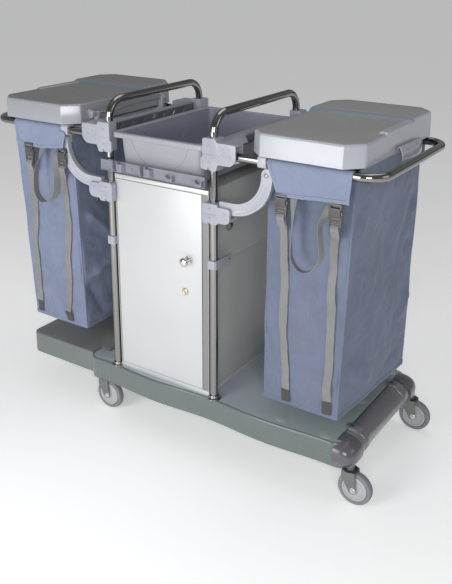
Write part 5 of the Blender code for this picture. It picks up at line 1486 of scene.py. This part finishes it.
# flap outline, as on the right-hand bag: top edge x, bottom edge as (share across, z)
FLAPS = {
    "right": {"left": [(1.010, 0.3880), (0.9135, 0.4205)], "right": [(1.010, 0.6435), (0.9235, 0.6405)],
              "hem": [(0.0, 0.9135), (0.34, 0.9150), (0.62, 0.9195), (1.0, 0.9240)]},
    "left": {"left": [(1.0005, 0.3880), (0.9880, 0.3665), (0.938, 0.3785)], "right": [(1.010, 0.6080), (0.933, 0.6000)],
             "hem": [(0.0, 0.9385), (0.24, 0.9310), (0.50, 0.9230), (0.80, 0.9250), (1.0, 0.9330)]},
}
STRAPS = {
    "right": [[(0.9255, 0.4090), (0.9055, 0.4120), (0.8266, 0.4273), (0.6147, 0.4339), (0.2792, 0.4478)],
              [(0.9255, 0.5900), (0.8281, 0.5869), (0.5478, 0.5858), (0.2806, 0.5829)]],
    "left": [[(0.9255, 0.4130), (0.8502, 0.4220), (0.6858, 0.4112), (0.3126, 0.4340)],
             [(0.9255, 0.5790), (0.8366, 0.5810), (0.6816, 0.5710), (0.3001, 0.5862)]],
}
HANDLES = {
    "right": [(0.4720, 0.926), (0.4750, 0.893), (0.4760, 0.781), (0.4850, 0.738), (0.5130, 0.715), (0.5480, 0.726),
              (0.5720, 0.764), (0.5660, 0.815), (0.5620, 0.855), (0.5780, 0.893), (0.5880, 0.926)],
    "left": [(0.4150, 0.930), (0.4145, 0.8965), (0.4125, 0.811), (0.4230, 0.768), (0.4650, 0.743), (0.4960, 0.757),
             (0.5090, 0.788), (0.5060, 0.850), (0.4960, 0.890), (0.4910, 0.930)],
}
BUCKLES = {"right": [(0.4370, 0.8880), (0.6020, 0.8870)], "left": [(0.3910, 0.9010), (0.5430, 0.9010)]}


def flap_point(end, k, s, side):
    """k across, s down the cloth from the inner end; side -1 front, 1 back."""
    spec = FLAPS[end]
    ty, tz, r = LOOP_Y, FOLD_Z, TUBE_R + 0.0011
    inner, arc = 0.0135, math.pi * r
    if s < inner:
        y, z = ty - r - 0.0, tz - (inner - s)
    elif s < inner + arc:
        a = math.pi - (s - inner) / r
        y, z = ty + r * math.cos(a), tz + r * math.sin(a)
    else:
        f = s - inner - arc
        y, z = ty + r + 0.030 * f + 0.0022 * math.sin(k * 7.0 + 0.6) * ease(f / 0.06), tz - f
        y += 0.0010 * noise.noise(Vector((k * 6, z * 30, side * 3.0)))
    xl, xr = lerp_list(spec["left"], z if s >= inner + arc else 1.010), lerp_list(spec["right"], z)
    x = xl + (xr - xl) * k
    if end == "left" and s >= inner + arc:
        # drawn over the casting's clasp at the inner edge
        y += max(0.0, 0.2712 - y) * (1 - ease((x - 0.3860) / 0.022)) * ease((s - inner - arc) / 0.004)
    return Vector((x, side * y, z))


def build_flap(end, side):
    spec = FLAPS[end]
    r = TUBE_R + 0.0011
    lead = 0.0135 + math.pi * r
    nu, ns = 44, 46

    def total(k):
        return lead + FOLD_Z - lerp_list(spec["hem"], k)
    grid = []
    for i in range(nu + 1):
        k = i / nu
        col = []
        for j in range(ns + 1):
            s = total(k) * j / ns
            col.append(flap_point(end, k, s, side))
        grid.append(col)
    bm = bmesh.new()
    vs = [[bm.verts.new(p) for p in col] for col in grid]
    for i in range(nu):
        for j in range(ns):
            bm.faces.new((vs[i][j], vs[i + 1][j], vs[i + 1][j + 1], vs[i][j + 1]))
    bmesh.ops.recalc_face_normals(bm, faces=bm.faces)
    area = sum(f.calc_area() for f in bm.faces)
    length = max(total(k / 20) for k in range(21))
    ob = temp(bm)
    top = max(ob.data.polygons, key=lambda f: f.center.z)
    if top.normal.z < 0:
        ob.data.flip_normals()
    mod = ob.modifiers.new("cloth", "SOLIDIFY")
    mod.thickness = 0.0014
    mod.offset = 0.0
    bake(ob)

    # turned hem along the bottom and the sides
    def strip(us, ss, out=0.0012):
        pts = [flap_point(end, min(1, max(0, k)), s, side) + Vector((0, side * out, 0)) for k, s in zip(us, ss)]
        return pts
    hem_mid = strip([k / 40 for k in range(41)], [total(k / 40) - 0.0055 for k in range(41)])
    hem = ribbon(hem_mid, [Vector((0, 0, 1))] * 41, 0.0110, 0.0011)
    sides = []
    for edge, shift in ((0.0, 0.0052), (1.0, -0.0052)):
        pts = []
        for j in range(24):
            s = lead * 0.62 + (total(edge) - 0.008 - lead * 0.62) * j / 23
            p = flap_point(end, edge, s, side)
            p.x += shift
            c = Vector((0, side * LOOP_Y, FOLD_Z))
            n = (Vector((0, p.y, max(p.z, FOLD_Z))) - c).normalized()
            pts.append(p + n * 0.0011)
        sides.append(ribbon(pts, [Vector((1, 0, 0))] * 24, 0.0100, 0.0009))
    hem = merge(hem, *sides)
    rows = []
    for off in (0.0022, 0.0090):
        rows.append(([p + Vector((0, side * 0.0007, 0.0055 - off)) for p in hem_mid], Vector((0, side, 0))))
    for edge, shift in ((0.0, 0.0085), (1.0, -0.0085)):
        pts = []
        for j in range(24):
            s = lead + 0.004 + (total(edge) - 0.010 - lead) * j / 23
            p = flap_point(end, edge, s, side)
            p.x += shift
            pts.append(p + Vector((0, side * 0.0017, 0)))
        rows.append((pts, Vector((0, side, 0))))
    # box stitching over each strap
    for line in STRAPS[end]:
        xc = line[0][1]
        for x0, x1, z0, z1 in ((xc - 0.010, xc + 0.010, 0.0, 0.0), (xc - 0.010, xc + 0.010, 0.020, 0.020),
                               (xc - 0.010, xc - 0.010, 0.0, 0.020), (xc + 0.010, xc + 0.010, 0.0, 0.020),
                               (xc - 0.010, xc + 0.010, 0.0, 0.020), (xc + 0.010, xc - 0.010, 0.0, 0.020)):
            spec_w = lerp_list(spec["right"], 0.95) - lerp_list(spec["left"], 0.95)
            kk = [min(1.0, max(0.0, (x - lerp_list(spec["left"], 0.95)) / spec_w)) for x in (x0, x1)]
            base = lerp_list(spec["hem"], 0.5 * (kk[0] + kk[1])) + 0.015
            pts = []
            for j in range(5):
                f = j / 4
                k = kk[0] + (kk[1] - kk[0]) * f
                z = base + z0 + (z1 - z0) * f
                p = flap_point(end, k, lead + FOLD_Z - z, side)
                pts.append(p + Vector((0, side * 0.0008, 0)))
            rows.append((pts, Vector((0, side, 0))))
    thread = stitches(rows)
    if end == "left":
        objs = []
        for o in (ob, hem, thread):
            objs.append(flip(o, -1))
            bpy.data.objects.remove(o, do_unlink=True)
        ob, hem, thread = objs
    tag = ("front" if side < 0 else "rear") + "_" + end
    make(ob, "bag_flap_" + tag, M["flap"], holder(end), (), 60)
    make(hem, "flap_hem_" + tag, M["flap"], holder(end), (), 50)
    make(thread, "flap_stitches_" + tag, M["thread"], holder(end), (), 60)


def build_buckle(end, side, xc, zc, tilt=0.0):
    """Side-release buckle: female body over a ladder-lock foot."""
    y0 = 0.2590
    w, h = 0.0385, 0.0450
    body = prism(rounded([(xc - w / 2, zc - 0.004), (xc + w / 2, zc - 0.004), (xc + w / 2, zc + h - 0.010),
                          (xc - w / 2, zc + h - 0.010)], 0.004, 5), "XZ", -y0 - 0.0115, -y0)
    cut(body, prism(rounded([(xc - 0.0130, zc + 0.0220), (xc + 0.0130, zc + 0.0220), (xc + 0.0130, zc + 0.0285),
                             (xc - 0.0130, zc + 0.0285)], 0.0012, 3), "XZ", -y0 - 0.02, -y0 + 0.01),
        prism([(xc - w / 2 - 0.001, zc + 0.0010), (xc - w / 2 + 0.0050, zc + 0.0030), (xc - w / 2 + 0.0050, zc + 0.0165),
               (xc - w / 2 - 0.001, zc + 0.0185)], "XZ", -y0 - 0.02, -y0 + 0.01),
        prism([(xc + w / 2 + 0.001, zc + 0.0010), (xc + w / 2 - 0.0050, zc + 0.0030), (xc + w / 2 - 0.0050, zc + 0.0165),
               (xc + w / 2 + 0.001, zc + 0.0185)], "XZ", -y0 - 0.02, -y0 + 0.01))
    soften(body, 0.0011, 2, 35)
    male = prism(rounded([(xc - 0.0165, zc - 0.0360), (xc + 0.0165, zc - 0.0360), (xc + 0.0190, zc - 0.0060),
                          (xc + 0.0190, zc - 0.0046), (xc - 0.0190, zc - 0.0046), (xc - 0.0190, zc - 0.0060)],
                         [0.004, 0.004, 0.0, 0.0, 0.0, 0.0], 5), "XZ", -y0 - 0.0095, -y0 - 0.0010)
    for z0, z1 in ((-0.0300, -0.0245), (-0.0190, -0.0135)):
        cut(male, prism(rounded([(xc - 0.0128, zc + z0), (xc + 0.0128, zc + z0), (xc + 0.0128, zc + z1), (xc - 0.0128, zc + z1)],
                                0.0010, 3), "XZ", -y0 - 0.02, -y0 + 0.01))
    soften(male, 0.0010, 2, 35)
    prongs = []
    for s in (-1, 1):
        xa, xb = sorted((xc + s * 0.0145, xc + s * 0.0200))
        prongs.append(soften(prism(rounded([(xa, zc - 0.0052), (xb, zc - 0.0052), (xb + (0.0008 if s > 0 else 0), zc + 0.0140),
                                            (xa, zc + 0.0150)], 0.0016, 3), "XZ", -y0 - 0.0085, -y0 - 0.0030), 0.0007, 2, 35))
    ob = merge(body, male, *prongs)
    if tilt:
        c = Vector((xc, 0, zc + 0.03))
        ob.data.transform(Matrix.Translation(c) @ Matrix.Rotation(tilt, 4, "Y") @ Matrix.Translation(-c))
    sx = 1 if end == "right" else -1
    if sx < 0 or side > 0:
        o2 = flip(ob, sx, -side)
        bpy.data.objects.remove(ob, do_unlink=True)
        ob = o2
    return ob


def build_straps(end, side):
    """Two long straps with buckles and a carrying loop on the front or back of a bag."""
    sx = 1 if end == "right" else -1
    web, ends, rows = None, None, []
    for line, (bx, bz) in zip(STRAPS[end], BUCKLES[end]):
        table = [(z, x) for z, x in line]
        pts, n = [], 90
        top, foot = bz - 0.016, hung(end, 0.262)
        for i in range(n + 1):
            z = top + (foot - top) * i / n
            x = lerp_list(table, z)
            # out to the buckle at the top
            lead = ease((z - (bz - 0.095)) / 0.080)
            x = x * (1 - lead) + bx * lead
            y = front_y(end, x, z) - 0.0030 - 0.0016 * abs(math.sin(z * 23 + x * 9)) * (1 - lead)
            y = y * (1 - lead) + (-0.2645) * lead
            pts.append(Vector((x, y, z)))
        wide = []
        for i, p in enumerate(pts):
            yl, yr = front_y(end, p.x - 0.012, p.z), front_y(end, p.x + 0.012, p.z)
            lead = ease((p.z - (bz - 0.095)) / 0.080)
            wide.append(Vector((0.024, (yr - yl) * (1 - lead), 0)))
        strap = ribbon(pts, wide, 0.0255, 0.0016)
        web = strap if web is None else merge(web, strap)
        # webbing from under the flap into the buckle, looped back
        up = [Vector((bx, -0.2645, bz + 0.0255)), Vector((bx, -0.2600, bz + 0.0350)),
              Vector((bx * 0.6 + line[0][1] * 0.4, -0.2585, bz + 0.048))]
        web = merge(web, ribbon(spline(up, 8), [Vector((1, 0, 0))] * 9, 0.0250, 0.0015))
        tail = [Vector((bx, -0.2665, bz - 0.026)), Vector((bx, -0.2715, bz - 0.0345)), Vector((bx + 0.001, -0.2675, bz - 0.050)),
                Vector((bx + 0.001, -0.2610, bz - 0.064))]
        web = merge(web, ribbon(spline(tail, 12), [Vector((1, 0, 0))] * 13, 0.0250, 0.0015))
        # doubled and stitched foot
        low = [p + Vector((0, -0.0018, 0)) for p in pts if p.z < foot + 0.044]
        patch = ribbon(low, wide[-len(low):], 0.0265, 0.0018)
        ends = patch if ends is None else merge(ends, patch)
        for off in (-0.0105, 0.0105):
            rows.append(([p + Vector((off, -0.0014, 0)) for p in pts if p.z > 0.31 and p.z < bz - 0.10], Vector((0, -1, 0))))
    thread = stitches(rows, 0.00032, 0.0030, 0.0026)
    # carrying loop
    h = HANDLES[end]
    n = 64
    path = []
    m = len(h) - 1
    for i, (x, z) in enumerate(h):
        f = i / m
        out = math.sin(math.pi * f) ** 0.5
        path.append(Vector((x, -0.2480 - 0.0330 * out, z)))
    pts = spline(path, n)
    wide = []
    for i in range(n + 1):
        f = i / n
        k = ease(min(f, 1 - f) * 4.2)
        wide.append(Vector((1 - k, 0, 0)) + Vector((0.25, -1.0, 0.10)) * k if f < 0.5
                    else Vector((1 - k, 0, 0)) * -1 + Vector((-0.10, -1.0, -0.05)) * k)
    # keep the width direction turning smoothly
    for i in range(1, n + 1):
        if wide[i].dot(wide[i - 1]) < 0:
            wide[i] = -wide[i]
    loop = ribbon(pts, wide, 0.0250, 0.0017)
    buckles = None
    for (bx, bz) in BUCKLES[end]:
        b = build_buckle(end, side, bx, bz, 0.0)
        buckles = b if buckles is None else merge(buckles, b)
    tag = ("front" if side < 0 else "rear") + "_" + end
    web = merge(web, loop)
    out = []
    for o in (web, ends, thread):
        if sx < 0 or side > 0:
            o2 = flip(o, sx, -side)
            bpy.data.objects.remove(o, do_unlink=True)
            o = o2
        out.append(o)
    make(out[0], "bag_webbing_" + tag, M["web"], holder(end), (), 50)
    make(out[1], "webbing_foot_" + tag, M["web_dark"], holder(end), (), 50)
    make(out[2], "webbing_stitches_" + tag, M["thread"], holder(end), (), 60)
    make(buckles, "side_buckles_" + tag, M["buckle"], holder(end), (), 36)


M["web_dark"] = woven("webbing_foot", (0.075, 0.075, 0.068), pitch=0.0028, rough=0.82, sheen=0.1, depth=0.9, blotch=0.15)
M["buckle"] = plastic("buckle_plastic", (0.075, 0.075, 0.077), 0.34, var=0.08, scuff=0.25, coat=0.1)
M["thread"] = plastic("stitch_thread", (0.33, 0.36, 0.46), 0.75, var=0.12, scuff=0.0)

build_base()
build_end_cover()
build_tubes()
build_brackets()
build_beams()
build_rail()
build_cabinet()
build_tray()
build_arms()
build_hinge_frames()
build_lids()
for side_, end_ in CORNERS:
    build_caster(f"{side_}_{end_}", CASTER_X[0] if end_ == "left" else CASTER_X[1],
                 -CASTER_Y if side_ == "front" else CASTER_Y)
for end_ in ("left", "right"):
    build_bag(end_)
    for s_ in (-1, 1):
        build_flap(end_, s_)
        build_straps(end_, s_)


# --------------------------------------------------------------- floor and light
def build_stage():
    bm = bmesh.new()
    bmesh.ops.create_grid(bm, x_segments=2, y_segments=2, size=60.0)
    floor = temp(bm)
    floor.name = "floor"
    mat, tree, bsdf = nodes_for("floor_paint", (0.94, 0.94, 0.94), 0.75, spec=0.2)
    soft = noise_of(tree, coords(tree), 1.5, 3.0)
    tree.links.new(ranged(tree, soft, 0.70, 0.82, 0.3, 0.7), bsdf.inputs["Roughness"])
    bsdf.inputs["Emission Color"].default_value = (1.0, 1.0, 1.0, 1.0)
    bsdf.inputs["Emission Strength"].default_value = 0.30
    floor.data.materials.append(mat)


def area_light(name, at, target, size, power, colour=(1, 1, 1), size_y=None):
    data = bpy.data.lights.new(name, "AREA")
    data.shape = "RECTANGLE"
    data.size = size
    data.size_y = size_y or size
    data.energy = power
    data.color = colour
    ob = bpy.data.objects.new(name, data)
    scene.collection.objects.link(ob)
    ob.location = at
    ob.rotation_euler = (Vector(target) - Vector(at)).to_track_quat("-Z", "Y").to_euler()
    return ob


build_stage()
area_light("key", (-0.55, -3.0, 1.25), (0.20, 0.0, 0.65), 1.5, 50, size_y=2.1)
area_light("front", (2.1, -3.0, 1.8), (0.1, 0.0, 0.6), 1.2, 44)
area_light("side", (3.4, 0.5, 1.9), (0.2, 0.0, 0.55), 1.6, 7)
area_light("top", (0.1, 0.8, 3.4), (0.0, 0.0, 0.8), 2.2, 16)

world = bpy.data.worlds.new("studio")
scene.world = world
world.use_nodes = True
wt = world.node_tree
bg = wt.nodes["Background"]
tex = wt.nodes.new("ShaderNodeTexCoord")
sep = wt.nodes.new("ShaderNodeSeparateXYZ")
wt.links.new(tex.outputs["Generated"], sep.inputs[0])
ramp = wt.nodes.new("ShaderNodeValToRGB")
ramp.color_ramp.elements[0].position = 0.0
ramp.color_ramp.elements[0].color = (0.20, 0.205, 0.215, 1)
ramp.color_ramp.elements[1].position = 1.0
ramp.color_ramp.elements[1].color = (0.62, 0.63, 0.65, 1)
for pos, val in ((0.12, 0.30), (0.30, 0.60), (0.45, 0.34), (0.70, 0.28)):
    e_ = ramp.color_ramp.elements.new(pos)
    e_.color = (val, val, val * 1.01, 1)
wt.links.new(sep.outputs["Z"], ramp.inputs["Fac"])
path_node = wt.nodes.new("ShaderNodeLightPath")
mix = wt.nodes.new("ShaderNodeMix")
mix.data_type = "RGBA"
wt.links.new(path_node.outputs["Is Camera Ray"], mix.inputs[0])
wt.links.new(ramp.outputs["Color"], mix.inputs[6])
mix.inputs[7].default_value = (2.1, 2.1, 2.1, 1)
wt.links.new(mix.outputs[2], bg.inputs["Color"])
bg.inputs["Strength"].default_value = 0.48

cam_data = bpy.data.cameras.new("camera")
cam_data.sensor_fit = "AUTO"
cam_data.sensor_width = 36.0
cam_data.lens = 49.69
cam_data.shift_x = 0.0153
cam_data.shift_y = -0.1458
cam_data.clip_start, cam_data.clip_end = 0.05, 200.0
cam = bpy.data.objects.new("camera", cam_data)
scene.collection.objects.link(cam)
cam.location = (1.4669, -2.1109, 1.5496)
cam.rotation_euler = (math.radians(90 - 17.72), 0.0, math.radians(34.13))
scene.camera = cam
scene.view_settings.view_transform = "Standard"
